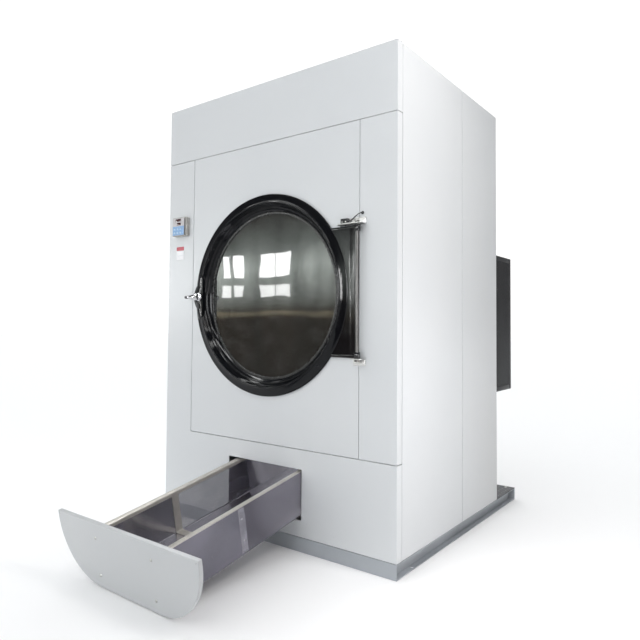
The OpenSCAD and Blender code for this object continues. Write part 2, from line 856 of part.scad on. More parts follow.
// Places the drawer's own frame: its origin is the roller's axis, its bottom is
// roll_gap over that, and it is drooped and pulled out by its whole travel.
module drawn_out() {
    translate([drawer_x, roll_y, roll_z]) rotate([droop, 0, 0])
        translate([0, -travel, 0]) children();
}
module drawer_roller() color("silver") {
    pin = drawer_b + 12;
    bar_x(roll_r, roll_y, roll_z, drawer_x - drawer_b - 3, drawer_x + drawer_b + 3);
    bar_x(roll_pin_r, roll_y, roll_z, drawer_x - pin, drawer_x + pin);
}
module drawer_guides() color("gray") {
    x0 = drawer_b + 5;
    y1 = 190;
    floor_z = roll_z + roll_gap - 6;
    for (side = [0, 1]) translate([drawer_x, 0, 0]) mirror([side, 0, 0]) {
        difference() {
            union() {
                block(x0, x0 + 6, roll_y - 12, y1, roll_z - 18, floor_z + 30);
                block(x0 - 26, x0 + 1, roll_y + 30, y1, floor_z - 4, floor_z);
                block(x0, x0 + 6, roll_y - 12, roll_y + 38, base_h, roll_z - 17);
                block(x0, x0 + 6, 135, 175, base_h, roll_z - 17);
            }
            bar_x(roll_pin_r + fit_gap, roll_y, roll_z, x0 - over, x0 + 7);
        }
    }
}
module drawer_tray() color("slategray") drawn_out() {
    z1 = rail_top - 3;
    difference() {
        block(-drawer_b, drawer_b, tray_y0, tray_y0 + tray_len, roll_gap, z1);
        block(-drawer_b + tray_t, drawer_b - tray_t, tray_y0 + tray_t,
            tray_y0 + tray_len - tray_t, roll_gap + tray_t, z1 + over);
    }
}
module drawer_rails() color("lightgray") drawn_out() {
    w = 28;
    t = 3;
    for (side = [0, 1]) mirror([side, 0, 0]) {
        y1 = tray_y0 + tray_len;
        block(drawer_b - w, drawer_b, tray_y0, y1, rail_top - t, rail_top);
        block(drawer_b - w, drawer_b - w + t, tray_y0 + tray_t + 1, y1 - tray_t - 1,
            rail_top - 18, rail_top - t);
    }
}
module drawer_brace() color("lightgray") drawn_out() {
    w = 38;
    t = 4;
    y = tray_y0 + brace_y;
    x1 = drawer_b - tray_t;
    z0 = roll_gap + tray_t;
    z1 = rail_top - 20;
    difference() {
        block(-x1, x1, y, y + w, z0, z1);
        block(-x1 + t, x1 - t, y - over, y + w + over, z0 + t, z1 + over);
    }
}

// Outline of the front plate, drawn in x and z, shrunk by an inset.
module plate_outline(inset) {
    b = plate_b - inset;
    r = plate_r - inset;
    z0 = front_top - plate_h + inset;
    z1 = front_top - inset;
    intersection() {
        translate([-b, z0]) square([2 * b, z1 - z0]);
        union() {
            translate([-b, z0 + r]) square([2 * b, r]);
            translate([-b + r, z0]) square([2 * (b - r), z1 - z0]);
            for (x = [-b + r, b - r]) translate([x, z0 + r]) circle(r = r, $fn = 120);
        }
    }
}
module drawer_front() color("whitesmoke") drawn_out() {
    y1 = tray_y0;
    y0 = y1 - front_fold;
    rim = 60;
    difference() {
        upright(y0, y1) plate_outline(0);
        upright(y0 + tray_t, y1 + over) plate_outline(tray_t);
    }
    difference() {
        block(-drawer_b, drawer_b, y0 + tray_t, y1, 30, rail_top - 12);
        block(-drawer_b + rim, drawer_b - rim, y0 + tray_t, y1 + over, rim,
            rail_top - 50);
    }
}
module drawer_screws() color("silver") drawn_out() {
    y0 = tray_y0 - front_fold;
    for (x = [-screw_x, screw_x], z = screw_z) {
        bar_y(7, x, z, y0 - 3, y0, $fn = 32);
    }
}

base_frame();
rear_deck();
main_frame();
front_surround();
door_panel();
right_strip();
header_panel();
right_front_panel();
right_rear_panel();
left_front_panel();
left_rear_panel();
top_cover();
rear_panel();
seat_ring();
door_seal();
hinge_brackets();
hinge_rod();
switch_body();
switch_wire();
control_box();
control_face();
rating_label();
bearing_housing();
inner_casing();
heater_coil();
lint_screen();
fan_housing();
fan_motor();
exhaust_spigot();
cable_gland();
drawer_guides();
drive_motor();
drive_belt();
guard_frame();
guard_mesh();
drum_shell();
drum_back();
drum_lifters();
drum_shaft();
drum_pulley();
motor_pulley();
fan_impeller();
door_ring();
door_glass();
glass_gasket();
hinge_plate();
door_handle();
switch_plunger();
drawer_roller();
drawer_tray();
drawer_rails();
drawer_brace();
drawer_front();
drawer_screws();
key_1();
key_2();
key_3();
key_4();
key_5();
key_6();
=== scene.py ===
import json
from math import cos, pi, radians, sin, sqrt
import bmesh
import bpy
from mathutils import Matrix, Vector


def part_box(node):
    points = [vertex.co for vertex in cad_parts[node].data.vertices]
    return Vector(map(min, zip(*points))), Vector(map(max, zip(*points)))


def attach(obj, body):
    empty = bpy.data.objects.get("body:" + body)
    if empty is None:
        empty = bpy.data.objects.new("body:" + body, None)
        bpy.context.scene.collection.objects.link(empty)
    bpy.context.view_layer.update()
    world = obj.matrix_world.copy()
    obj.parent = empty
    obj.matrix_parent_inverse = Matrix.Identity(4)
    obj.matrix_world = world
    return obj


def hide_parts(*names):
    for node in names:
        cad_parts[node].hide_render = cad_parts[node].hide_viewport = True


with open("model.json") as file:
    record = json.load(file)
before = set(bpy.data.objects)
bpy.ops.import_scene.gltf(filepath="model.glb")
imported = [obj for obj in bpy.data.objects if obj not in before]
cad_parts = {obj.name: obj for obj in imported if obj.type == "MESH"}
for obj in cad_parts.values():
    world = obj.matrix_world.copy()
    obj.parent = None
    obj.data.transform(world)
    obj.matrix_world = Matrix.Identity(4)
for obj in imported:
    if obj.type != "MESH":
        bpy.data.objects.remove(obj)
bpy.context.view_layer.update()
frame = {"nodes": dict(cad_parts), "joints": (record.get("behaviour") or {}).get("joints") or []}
NODES = frame["nodes"]
JOINTS = {j["name"]: j for j in frame["joints"]}
MM = 0.001

# ---- places read from the frame ----
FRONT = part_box("door_panel")[0].y                 # the plane of the front panels
drum_lo, drum_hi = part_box("drum_shell")
AXIS_Z = (drum_lo.z + drum_hi.z) / 2              # height of the drum and door axis
HINGE = Vector(JOINTS["door_hinge"]["pos_m"])
PIVOT = Vector(JOINTS["drawer_tilt"]["pos_m"])
DROOP = radians(JOINTS["drawer_tilt"]["range_deg"][1])
TRAVEL = -JOINTS["drawer_slide"]["range_m"][0]
# The drawer's own frame: level, shut, with the roller's axis as its origin.
DRAWER = (Matrix.Translation(PIVOT) @ Matrix.Rotation(DROOP, 4, "X")
          @ Matrix.Translation((0, -TRAVEL, 0)))

# ---- the camera ----
YAW, PITCH, ROLL = radians(36.95), radians(1.97), radians(0.428)
EYE = Vector((2.0517, FRONT - 2.2513, 1.1056))
LENS, SENSOR, SHIFT_UP = 32.66, 36, -0.0212

# ---- what the glass and the black ring mirror: a toned card with windows in front ----
CARD_Y = -6.1
PANE_Y = CARD_Y + 0.1
CARD_TONES = (                                    # share of its 4 m height, and colour
    (0.0, (0.05, 0.035, 0.03)), (0.31, (0.08, 0.055, 0.04)), (0.332, (0.70, 0.60, 0.42)),
    (0.345, (0.22, 0.20, 0.16)), (0.42, (0.95, 1.02, 0.95)), (0.54, (1.75, 1.90, 1.78)),
    (0.64, (0.55, 0.60, 0.56)), (0.76, (0.12, 0.11, 0.10)))
WALL_TONES = (                                    # how far up a ray looks, and level
    (0.0, 0.10), (0.17, 0.20), (0.35, 0.36), (0.50, 0.12), (0.66, 0.10), (0.68, 7.0),
    (0.70, 7.0), (0.72, 0.15), (0.82, 0.2), (0.84, 15.0), (0.87, 15.0), (0.89, 0.3))
WINDOW_SPANS = ((-5.90, -5.72), (-5.62, -5.38), (-4.95, -4.62), (-4.60, -4.25))
SIDE_SPANS = ((-12.6, -11.4), (-9.4, -8.9), (-8.7, -8.1), (0.1, 0.8))


def local_box(node):
    """Lowest and highest corner of a CAD node in the drawer's own frame."""
    inverse = DRAWER.inverted()
    points = [inverse @ v.co for v in NODES[node].data.vertices]
    return tuple(Vector([pick(p[i] for p in points) for i in range(3)]) for pick in (min, max))


def add_to_scene(thing):
    bpy.context.scene.collection.objects.link(thing)
    return thing


# ---- node trees ----

class Tree:
    """A node tree being built: nodes by type, and the links between them."""

    def __init__(self, tree, coordinate):
        self.tree = tree
        self.place = self.add("TexCoord").outputs[coordinate]

    def put(self, socket, value):
        if isinstance(value, bpy.types.NodeSocket):
            self.tree.links.new(value, socket)
        elif socket.type == "RGBA" and len(value) == 3:
            socket.default_value = (*value, 1)
        else:
            socket.default_value = value

    def add(self, kind, values=None, **settings):
        node = self.tree.nodes.new("ShaderNode" + kind)
        for key, value in settings.items():
            setattr(node, key, value)
        for key, value in (values or {}).items():
            self.put(node.inputs[key], value)
        return node

    def split(self, vector):
        """The three parts of a vector."""
        return self.add("SeparateXYZ", {0: vector}).outputs

    def ranged(self, value, lo, hi, a=0.0, b=1.0):
        """Maps value from lo..hi to a..b, held at the ends."""
        return self.add("MapRange", {"Value": value, "From Min": lo, "From Max": hi,
                                     "To Min": a, "To Max": b}).outputs["Result"]

    def math(self, kind, a, b=0.0):
        return self.add("Math", {0: a, 1: b}, operation=kind).outputs[0]

    def times(self, a, b):
        return self.math("MULTIPLY", a, b)

    def plus(self, a, b):
        return self.math("ADD", a, b)

    def minus(self, a, b):
        return self.math("SUBTRACT", a, b)

    def part(self, value):
        """What is left of value past its whole number."""
        return self.math("FRACT", value)

    def length(self, u, v):
        return self.math("SQRT", self.plus(self.times(u, u), self.times(v, v)))

    def ramp(self, value, stops):
        """A colour for each value between the stops, which are (value, colour)."""
        node = self.add("ValToRGB", {0: value})
        elements = node.color_ramp.elements
        while len(elements) < len(stops):
            elements.new(1.0)
        for element, (where, colour) in zip(elements, stops):
            element.position = where
            element.color = (*colour, 1)
        return node.outputs[0]


class Shader(Tree):
    """A material being built around its Principled shader."""

    def __init__(self, name):
        self.mat = bpy.data.materials.new(name)
        self.mat.use_nodes = True
        super().__init__(self.mat.node_tree, "Object")
        self.bsdf = self.tree.nodes["Principled BSDF"]
        self.out = self.tree.nodes["Material Output"].inputs["Surface"]

    def noise(self, scale, detail=3.0, rough=0.5, stretch=(1, 1, 1)):
        spot = self.add("Mapping", {"Vector": self.place, "Scale": stretch}).outputs[0]
        return self.add("TexNoise", {"Vector": spot, "Scale": scale, "Detail": detail,
                                     "Roughness": rough}).outputs["Fac"]

    def mixed(self, factor, a, b):
        """Colour a where factor is 0, and b where it is 1."""
        node = self.add("Mix", data_type="RGBA")
        for index, value in ((0, factor), (6, a), (7, b)):
            self.put(node.inputs[index], value)
        return node.outputs[2]

    def bump(self, value, distance, strength=1.0, normal=None):
        values = {"Height": value, "Distance": distance, "Strength": strength}
        if normal is not None:
            values["Normal"] = normal
        return self.add("Bump", values).outputs[0]

    def finish(self, **values):
        for key, value in values.items():
            self.put(self.bsdf.inputs[key.replace("_", " ")], value)
        return self.mat

    def instead(self, shader):
        """Shows another shader in place of the Principled one."""
        self.tree.nodes.remove(self.bsdf)
        self.tree.links.new(shader.outputs[0], self.out)
        return self.mat


# ---- stage ----

def flat_piece(name, corners, mat):
    """One flat face, as a part of the stage."""
    bm = bmesh.new()
    bm.faces.new([bm.verts.new(corner) for corner in corners])
    mesh = bpy.data.meshes.new(name)
    bm.to_mesh(mesh)
    bm.free()
    mesh.materials.append(mat)
    flat = add_to_scene(bpy.data.objects.new(name, mesh))
    return flat


def make_floor():
    """A wide pale floor, just under the feet."""
    half, level = 60.0, -0.4 * MM
    mat = bpy.data.materials.new("floor_pale")
    mat.use_nodes = True
    bsdf = mat.node_tree.nodes["Principled BSDF"]
    bsdf.inputs["Base Color"].default_value = (0.93, 0.93, 0.93, 1)
    bsdf.inputs["Roughness"].default_value = 0.8
    flat_piece("floor", ((-half, -half, level), (half, -half, level), (half, half, level),
                         (-half, half, level)), mat)


def make_camera():
    """A low eye to the right of the door."""
    data = bpy.data.cameras.new("camera")
    data.lens = LENS
    data.sensor_width = SENSOR
    data.shift_y = SHIFT_UP
    camera = add_to_scene(bpy.data.objects.new("camera", data))
    look = Vector((-sin(YAW) * cos(PITCH), cos(YAW) * cos(PITCH), sin(PITCH)))
    right = Vector((cos(YAW), sin(YAW), 0))
    side = right * cos(ROLL) + right.cross(look) * sin(ROLL)
    turn = Matrix((side, side.cross(look), -look)).transposed().to_4x4()
    camera.matrix_world = Matrix.Translation(EYE) @ turn
    bpy.context.scene.camera = camera


def area_light(name, place, target, width, height, power, colour=(1, 1, 1)):
    """A soft light that isn't seen itself."""
    data = bpy.data.lights.new(name, "AREA")
    data.shape = "RECTANGLE"
    data.size = width
    data.size_y = height
    data.energy = power
    data.color = colour
    light = add_to_scene(bpy.data.objects.new(name, data))
    place = Vector(place)
    aim = (Vector(target) - place).to_track_quat("-Z", "Y")
    light.matrix_world = Matrix.Translation(place) @ aim.to_matrix().to_4x4()
    light.visible_camera = False
    return light


def workshop_card():
    """A tall toned card in front, seen only in reflections: dark low down, grey
    green above, as a workshop would be."""
    name, x0, x1, z0, z1 = "workshop_card", -14.0, 0.4, -0.2, 6.0
    s = Shader(name)
    height = s.split(s.place)[2]
    tones = s.ramp(s.ranged(height, 0, 4), CARD_TONES)
    blot = s.ranged(s.noise(2.2, 4, 0.5, (1, 1, 0.22)), 0.35, 0.65, 0.75, 1.75)
    mat = s.instead(s.add("Emission", {"Color": tones, "Strength": blot}))
    card = flat_piece(name, ((x0, CARD_Y, z0), (x1, CARD_Y, z0), (x1, CARD_Y, z1),
                             (x0, CARD_Y, z1)), mat)
    card.visible_camera = False
    card.visible_diffuse = False
    card.visible_shadow = False
    card.visible_transmission = False


def pane(name, span, z0, z1, glow):
    """A bright window pane in front of the card; glow is its radiance."""
    wide, tall = span[1] - span[0], z1 - z0
    mid_x, mid_z = sum(span) / 2, (z0 + z1) / 2
    light = area_light(name, (mid_x, PANE_Y, mid_z), (mid_x, 0, mid_z), wide, tall,
                       glow * pi * wide * tall)
    light.visible_diffuse = False


def mirrored_room(s, up):
    """What reflections see round about: dim walls, two lit strips high up and a
    window wall to the front right."""
    walls = s.ramp(s.ranged(up, -0.2, 1.0, 0, 1),
                   [(where, (level, level * 1.01, level)) for where, level in WALL_TONES])
    toward = s.add("VectorMath", {0: s.place, 1: (0.42, -0.90, 0.10)}, operation="DOT_PRODUCT")
    side = s.ranged(toward.outputs["Value"], 0.93, 0.955, 0, 10.0)
    tall = s.times(s.ranged(up, 0.32, 0.28, 0, 1), s.ranged(up, -0.02, 0.03, 0, 1))
    room = s.add("Background", {"Color": walls})
    windows = s.add("Background", {"Color": (0.95, 0.98, 1), "Strength": s.times(side, tall)})
    return s.add("AddShader", {0: room.outputs[0], 1: windows.outputs[0]})


def make_world():
    """The camera sees plain white. Light comes from a white sky, weaker to the
    right, and reflections see a room."""
    world = bpy.data.worlds.new("studio")
    world.use_nodes = True
    bpy.context.scene.world = world
    world.node_tree.nodes.clear()
    s = Tree(world.node_tree, "Generated")
    right, _, up = s.split(s.place)
    sky = s.add("Background", {"Color": (0.97, 0.985, 1.0),
                               "Strength": s.ranged(right, 0.05, 0.6, 1.40, 0.12)})
    room = mirrored_room(s, up)
    plain = s.add("Background", {"Color": (1, 1, 1), "Strength": 1.1})
    ray = s.add("LightPath").outputs
    lighting = s.add("MixShader", {0: ray["Is Glossy Ray"], 1: sky.outputs[0],
                                   2: room.outputs[0]})
    seen = s.add("MixShader", {0: ray["Is Camera Ray"], 1: lighting.outputs[0],
                               2: plain.outputs[0]})
    s.add("OutputWorld", {0: seen.outputs[0]})


def make_lights():
    """Sky, two soft lights on the right side, and what the front mirrors."""
    make_world()
    bpy.context.scene.view_settings.view_transform = "Standard"
    area_light("right_high", (2.0, -0.85, 2.6), (0.8, -0.7, 1.9), 0.8, 0.8, 17.5,
               (1.0, 0.965, 0.945))
    area_light("right_low", (1.8, -0.85, 0.9), (0.8, -0.7, 0.7), 0.6, 0.6, 6.5,
               (1.0, 0.97, 0.97))
    workshop_card()
    for i, span in enumerate(WINDOW_SPANS):
        pane(f"pane_high_{i}", span, 1.98, 2.39, 9)
        pane(f"pane_low_{i}", span, 1.63, 1.84, 6)
    for i, span in enumerate(SIDE_SPANS):
        pane(f"pane_side_{i}", span, 1.25, 2.6, 26)


# ---- mesh helpers ----

def piece(name, made, look, replaces=None, body="cabinet", slot=None, sharp=35, place=None):
    """Makes a finished piece of a bmesh or mesh: its material, body and the CAD node that it
    replaces. The slot is not used."""
    mesh = made
    if isinstance(made, bmesh.types.BMesh):
        bmesh.ops.recalc_face_normals(made, faces=made.faces)
        mesh = bpy.data.meshes.new(name)
        made.to_mesh(mesh)
        made.free()
    thing = add_to_scene(bpy.data.objects.new(name, mesh))
    mesh.materials.append(LOOKS[look])
    mesh.shade_smooth()
    mesh.set_sharp_from_angle(angle=radians(sharp))
    if place:
        thing.matrix_world = place
    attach(thing, body)
    if replaces:
        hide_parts(replaces)
    return mesh


def turned(name, profile, centre, steps, axis, closed, look, *facts, **more):
    """A piece that is one turned form."""
    bm = bmesh.new()
    add_lathe(bm, profile, centre, steps, axis, closed)
    piece(name, bm, look, *facts, **more)


def drawer_piece(name, made, look, replaces=None, slot=None, sharp=35):
    """A finished piece of the drawer, built in the drawer's own frame."""
    return piece(name, made, look, replaces, "drawer", slot, sharp, DRAWER)


def add_grid(bm, rings, closed_rows=False, cap=False):
    """Faces between rings of points; each ring is closed on itself."""
    rows = [[bm.verts.new(p) for p in ring] for ring in rings]
    n = len(rows[0])
    pairs = list(zip(rows, rows[1:]))
    if closed_rows:
        pairs.append((rows[-1], rows[0]))
    for a, b in pairs:
        for i in range(n):
            k = (i + 1) % n
            bm.faces.new((a[i], a[k], b[k], b[i]))
    if cap:
        bm.faces.new(rows[0][::-1])
        bm.faces.new(rows[-1])


def circle(r, h, centre, steps, axis):
    """Points round an axis at height h. Centre is (x, z) for axis Y, (x, y) for
    axis Z and (y, z) for axis X."""
    ring = []
    for i in range(steps):
        a = 2 * pi * i / steps
        u, v = centre[0] + r * cos(a), centre[1] + r * sin(a)
        ring.append({"Y": (u, h, v), "Z": (u, v, h), "X": (h, u, v)}[axis])
    return ring


def add_lathe(bm, profile, centre=(0, 0), steps=96, axis="Y", closed=True):
    """Turns (radius, height) points about an axis. A closed profile makes a ring,
    and an open one a solid with flat ends."""
    add_grid(bm, [circle(r, h, centre, steps, axis) for r, h in profile],
             closed_rows=closed, cap=not closed)


def add_bar(bm, loop, ends, axis="Y"):
    """A bar whose section is loop, (x, z) along Y or (x, y) along Z."""
    add_grid(bm, [[(u, end, v) if axis == "Y" else (u, v, end) for u, v in loop]
                  for end in ends], cap=True)


def add_box(bm, lo, hi, bevel=0.0, steps=2):
    """A box between two corners, with rounded edges."""
    made = bmesh.ops.create_cube(bm, size=1)["verts"]
    lo, hi = Vector(lo), Vector(hi)
    for v in made:
        v.co = Vector([(lo[i] + hi[i]) / 2 + v.co[i] * (hi[i] - lo[i]) for i in range(3)])
    if bevel:
        edges = list(dict.fromkeys(e for v in made for e in v.link_edges))
        bmesh.ops.bevel(bm, geom=edges, offset=bevel, segments=steps, profile=0.5,
                        affect="EDGES")


def pierced_slab(bm, outer, holes, y0, y1):
    """A plate between y0 and y1 with oblong holes; all outlines are (x0, x1, z0, z1)."""
    xs = sorted({v for box in (outer, *holes) for v in box[:2]})
    zs = sorted({v for box in (outer, *holes) for v in box[2:]})
    across, tall = len(xs) - 1, len(zs) - 1
    made = {}

    def solid(i, k):
        if not (0 <= i < across and 0 <= k < tall):
            return False
        x, z = (xs[i] + xs[i + 1]) / 2, (zs[k] + zs[k + 1]) / 2
        return not any(a < x < b and c < z < d for a, b, c, d in holes)

    def vert(i, k, y):
        if (i, k, y) not in made:
            made[i, k, y] = bm.verts.new((xs[i], y, zs[k]))
        return made[i, k, y]

    for i in range(across):
        for k in range(tall):
            if not solid(i, k):
                continue
            loop = ((i, k), (i + 1, k), (i + 1, k + 1), (i, k + 1))
            beyond = ((i, k - 1), (i + 1, k), (i, k + 1), (i - 1, k))
            for y in (y0, y1):
                bm.faces.new([vert(*p, y) for p in loop])
            for a, b, other in zip(loop, loop[1:] + loop[:1], beyond):
                if not solid(*other):
                    bm.faces.new((vert(*a, y0), vert(*b, y0), vert(*b, y1), vert(*a, y1)))


def add_loft(bm, outline, rings):
    """A closed form from an (x, z) outline that runs against the clock. Each ring
    is (inset, y)."""
    n = len(outline)
    points = [Vector(p) for p in outline]
    normals = []
    for i in range(n):
        a = (points[i] - points[i - 1]).normalized()
        b = (points[(i + 1) % n] - points[i]).normalized()
        inward = Vector((-(a + b).y, (a + b).x)).normalized()
        normals.append(inward / sqrt((1 + a.dot(b)) / 2))
    loops = []
    for inset, y in rings:
        flat = [point + normal * inset for point, normal in zip(points, normals)]
        loops.append([(p.x, y, p.y) for p in flat])
    add_grid(bm, loops, cap=True)


def arc(cx, cy, r, a0, a1, steps):
    """Points of an arc, angles in degrees."""
    return [(cx + r * cos(radians(a0 + (a1 - a0) * i / steps)),
             cy + r * sin(radians(a0 + (a1 - a0) * i / steps))) for i in range(steps + 1)]


def quarter(r, steps):
    """A quarter round from (0, 0), where it is level, up to (r, r)."""
    return [(r * sin(pi / 2 * i / steps), r * (1 - cos(pi / 2 * i / steps)))
            for i in range(steps + 1)]


def rounded_rect(x0, x1, z0, z1, r, steps):
    """The outline of a rectangle with round corners, against the clock."""
    return (arc(x1 - r, z0 + r, r, -90, 0, steps) + arc(x1 - r, z1 - r, r, 0, 90, steps)
            + arc(x0 + r, z1 - r, r, 90, 180, steps) + arc(x0 + r, z0 + r, r, 180, 270, steps))


def slab_rings(y0, y1, bevel, steps=3):
    """Rings for add_loft: a slab from y0, its front, to y1 with rounded edges."""
    front = [(bevel - s, y0 + c) for s, c in quarter(bevel, steps)]
    return front + [(inset, y0 + y1 - y) for inset, y in reversed(front)]


def add_slab(bm, rect, r, corner_steps, y0, y1, bevel, steps):
    """A rounded rectangle (x0, x1, z0, z1) as a slab."""
    add_loft(bm, rounded_rect(*rect, r, corner_steps), slab_rings(y0, y1, bevel, steps))


def tube_mesh(name, points, radius, steps=8):
    """A round tube on a smooth curve along points, as a mesh."""
    curve = bpy.data.curves.new(name, "CURVE")
    curve.dimensions = "3D"
    curve.bevel_depth = radius
    curve.bevel_resolution = steps // 4
    curve.use_fill_caps = True
    spline = curve.splines.new("NURBS")
    spline.points.add(len(points) - 1)
    for p, q in zip(spline.points, points):
        p.co = (*q, 1)
    spline.order_u = 4
    spline.use_endpoint_u = True
    spline.resolution_u = 8
    holder = add_to_scene(bpy.data.objects.new(name, curve))
    bpy.context.view_layer.update()
    seen = holder.evaluated_get(bpy.context.evaluated_depsgraph_get())
    mesh = bpy.data.meshes.new_from_object(seen)
    bpy.data.objects.remove(holder)
    bpy.data.curves.remove(curve)
    return mesh


# ---- materials ----

def dimmed(colour, share):
    """A colour with each part scaled down."""
    return tuple(c * share for c in colour)


def paint(name, colour, rough=0.32, grime=0.9):
    """Sprayed or powder coated paint: orange peel, faint waves and handling marks."""
    s = Shader(name)
    cloud = s.ranged(s.noise(2.3, 4), 0.35, 0.7)
    smudge = s.ranged(s.noise(11, 6, 0.65), 0.55, 0.8)
    tone = s.mixed(s.times(cloud, 0.6), colour, dimmed(colour, grime))
    fine = s.bump(s.noise(420, 2), 0.00012, 0.5)
    return s.finish(Base_Color=tone, Roughness=s.ranged(smudge, 0, 1, rough, rough + 0.1),
                    Normal=s.bump(s.noise(3.1, 2), 0.0022, 0.35, fine), Coat_Roughness=0.08)


def cabinet_white(name="cabinet_white", level=1.0):
    """Off-white powder coat, with painted shade: darker and warmer towards the floor and the
    rear. A level below 1 dims the whole coat.
    """
    s = Shader(name)
    _, y, z = s.split(s.place)
    # painted shade: this mask darkens the coat towards the floor and the rear, where shade falls
    dull = s.times(s.ranged(z, 1.9, 0.25), s.ranged(y, -0.12, 0.45))
    cloud = s.ranged(s.noise(2.3, 4), 0.35, 0.7, 0, 0.5)
    clean = s.mixed(cloud, dimmed((0.660, 0.678, 0.690), level),
                    dimmed((0.632, 0.655, 0.672), level))
    # painted shade: up to a quarter of the way to a warm grey where the mask is full
    tone = s.mixed(s.times(dull, 0.25), clean, (0.50, 0.475, 0.45))
    scuff = s.ranged(s.noise(38, 6, 0.7), 0.66, 0.74, 0, 0.35)
    tone = s.mixed(s.times(scuff, s.ranged(z, 0.5, 0.08)), tone, (0.38, 0.38, 0.37))
    fine = s.bump(s.noise(420, 2), 0.00012, 0.5)
    return s.finish(Base_Color=tone,
                    Roughness=s.ranged(s.noise(9, 6, 0.65), 0.5, 0.8, 0.30, 0.42),
                    Normal=s.bump(s.noise(2.6, 2), 0.003, 0.35, fine))


def gloss_black(name, gloss):
    """Black enamel over pressed steel: deep gloss, dust and fine swirls."""
    s = Shader(name)
    dust = s.ranged(s.noise(26, 8, 0.7), 0.56, 0.78, 0, 0.5)
    tone = s.mixed(dust, (0.0035, 0.004, 0.0055), (0.012, 0.0125, 0.015))
    ripple = s.bump(s.noise(9, 3), 0.0010, 0.3)
    wave = s.bump(s.noise(7, 4, 0.6, (4, 4, 1)), 0.0020, 0.3, ripple)
    return s.finish(Base_Color=tone, Normal=wave, Specular_IOR_Level=gloss,
                    Roughness=s.ranged(s.noise(17, 5, 0.6), 0.4, 0.75, 0.08, 0.17))


def steel(name, colour, rough=0.3, grain=(1, 60, 60), marks=0.25, metal=1.0):
    """Brushed sheet: fine lines along one axis, with rubbed and dull places."""
    s = Shader(name)
    lines = s.noise(30, 3, 0.6, grain)
    spots = s.ranged(s.noise(7, 6, 0.6), 0.4, 0.75)
    dull = dimmed(colour, 1 - marks)
    tone = s.mixed(spots, colour, dull)
    tone = s.mixed(s.ranged(lines, 0.35, 0.65, 0, 0.25), tone, dull)
    rough_now = s.plus(s.ranged(lines, 0.3, 0.7, rough - 0.06, rough + 0.06),
                       s.ranged(spots, 0, 1, 0, 0.12))
    return s.finish(Base_Color=tone, Metallic=metal, Roughness=rough_now,
                    Normal=s.bump(lines, 0.00006, 0.5))


def drawer_metal(name, light, dark, metal, rough):
    """Thin sheet with a film sheen, rubbed patches and faint runs."""
    s = Shader(name)
    patch = s.ranged(s.noise(4.5, 5, 0.6), 0.36, 0.70)
    dust = s.ranged(s.noise(60, 8, 0.75), 0.62, 0.85, 0, 0.2)
    tone = s.mixed(dust, s.mixed(patch, light, dark), (0.27, 0.26, 0.27))
    run = s.noise(70, 3, 0.6, (1, 9, 0.6))
    rough_now = s.plus(s.ranged(run, 0.3, 0.7, rough, rough + 0.06),
                       s.ranged(patch, 0, 1, 0, 0.08))
    return s.finish(Base_Color=tone, Metallic=metal, Roughness=rough_now,
                    Normal=s.bump(s.noise(5, 2), 0.003, 0.3), Specular_IOR_Level=0.7)


def filter_screen():
    """Fine woven wire: the gaps between crossing wires let light through."""
    s = Shader("filter_screen")
    _, y, z = s.split(s.place)
    pitch, wire = 2.2 * MM, 0.10
    gaps = []
    for value in (y, z):
        cell = s.minus(s.part(s.times(value, 1 / pitch)), 0.5)
        gaps.append(s.ranged(s.math("ABSOLUTE", cell), 0.5 - wire, 0.47 - wire))
    open_part = s.times(*gaps)
    lint = s.ranged(s.noise(9, 6, 0.65), 0.35, 0.75, 0.95, 0.80)
    solid = s.minus(1.0, s.times(open_part, lint))
    tone = s.mixed(s.noise(7, 4), (0.20, 0.19, 0.23), (0.14, 0.135, 0.165))
    return s.finish(Base_Color=tone, Metallic=0.5, Roughness=s.ranged(solid, 0, 1, 0.4, 0.3),
                    Alpha=solid, Normal=s.bump(open_part, 0.0003, 0.5))


def galvanised():
    """Zinc sheet with its spangle of flat crystals."""
    s = Shader("galvanised")
    cells = s.add("TexVoronoi", {"Vector": s.place, "Scale": 95.0}).outputs["Color"]
    grey = s.add("SeparateColor", {0: cells}).outputs[0]
    stain = s.ranged(s.noise(8, 5), 0.5, 0.8, 0, 0.5)
    tone = s.mixed(grey, (0.50, 0.52, 0.54), (0.66, 0.68, 0.70))
    return s.finish(Base_Color=s.mixed(stain, tone, (0.42, 0.43, 0.43)), Metallic=0.85,
                    Roughness=s.ranged(grey, 0, 1, 0.32, 0.5),
                    Normal=s.bump(grey, 0.00008, 0.4))


def perforated_steel():
    """Drum sheet: stainless with staggered round holes a few millimetres wide, coloured
    near-black as painted shade for the dark seen through them.
    """
    s = Shader("perforated_steel")
    radius, across, along = 0.65, 16 * MM, 13.9 * MM
    x, y, z = s.split(s.place)
    turn = s.times(s.math("ARCTAN2", s.minus(z, AXIS_Z), x), radius)
    rows = s.times(y, 1 / along)
    shift = s.times(s.math("MODULO", s.math("FLOOR", rows), 2.0), 0.5)
    u = s.minus(s.part(s.plus(s.times(turn, 1 / across), shift)), 0.5)
    hole = s.ranged(s.length(u, s.minus(s.part(rows), 0.5)), 0.19, 0.23, 1, 0)
    # the hole pattern is real; its near-black colour is painted shade for the dark behind the
    # sheet
    tone = s.mixed(hole, (0.55, 0.55, 0.54), (0.01, 0.01, 0.01))
    return s.finish(Base_Color=tone, Metallic=s.ranged(hole, 0, 1, 1, 0),
                    Roughness=s.ranged(hole, 0, 1, 0.3, 0.8), Normal=s.bump(hole, 0.001, 0.8))


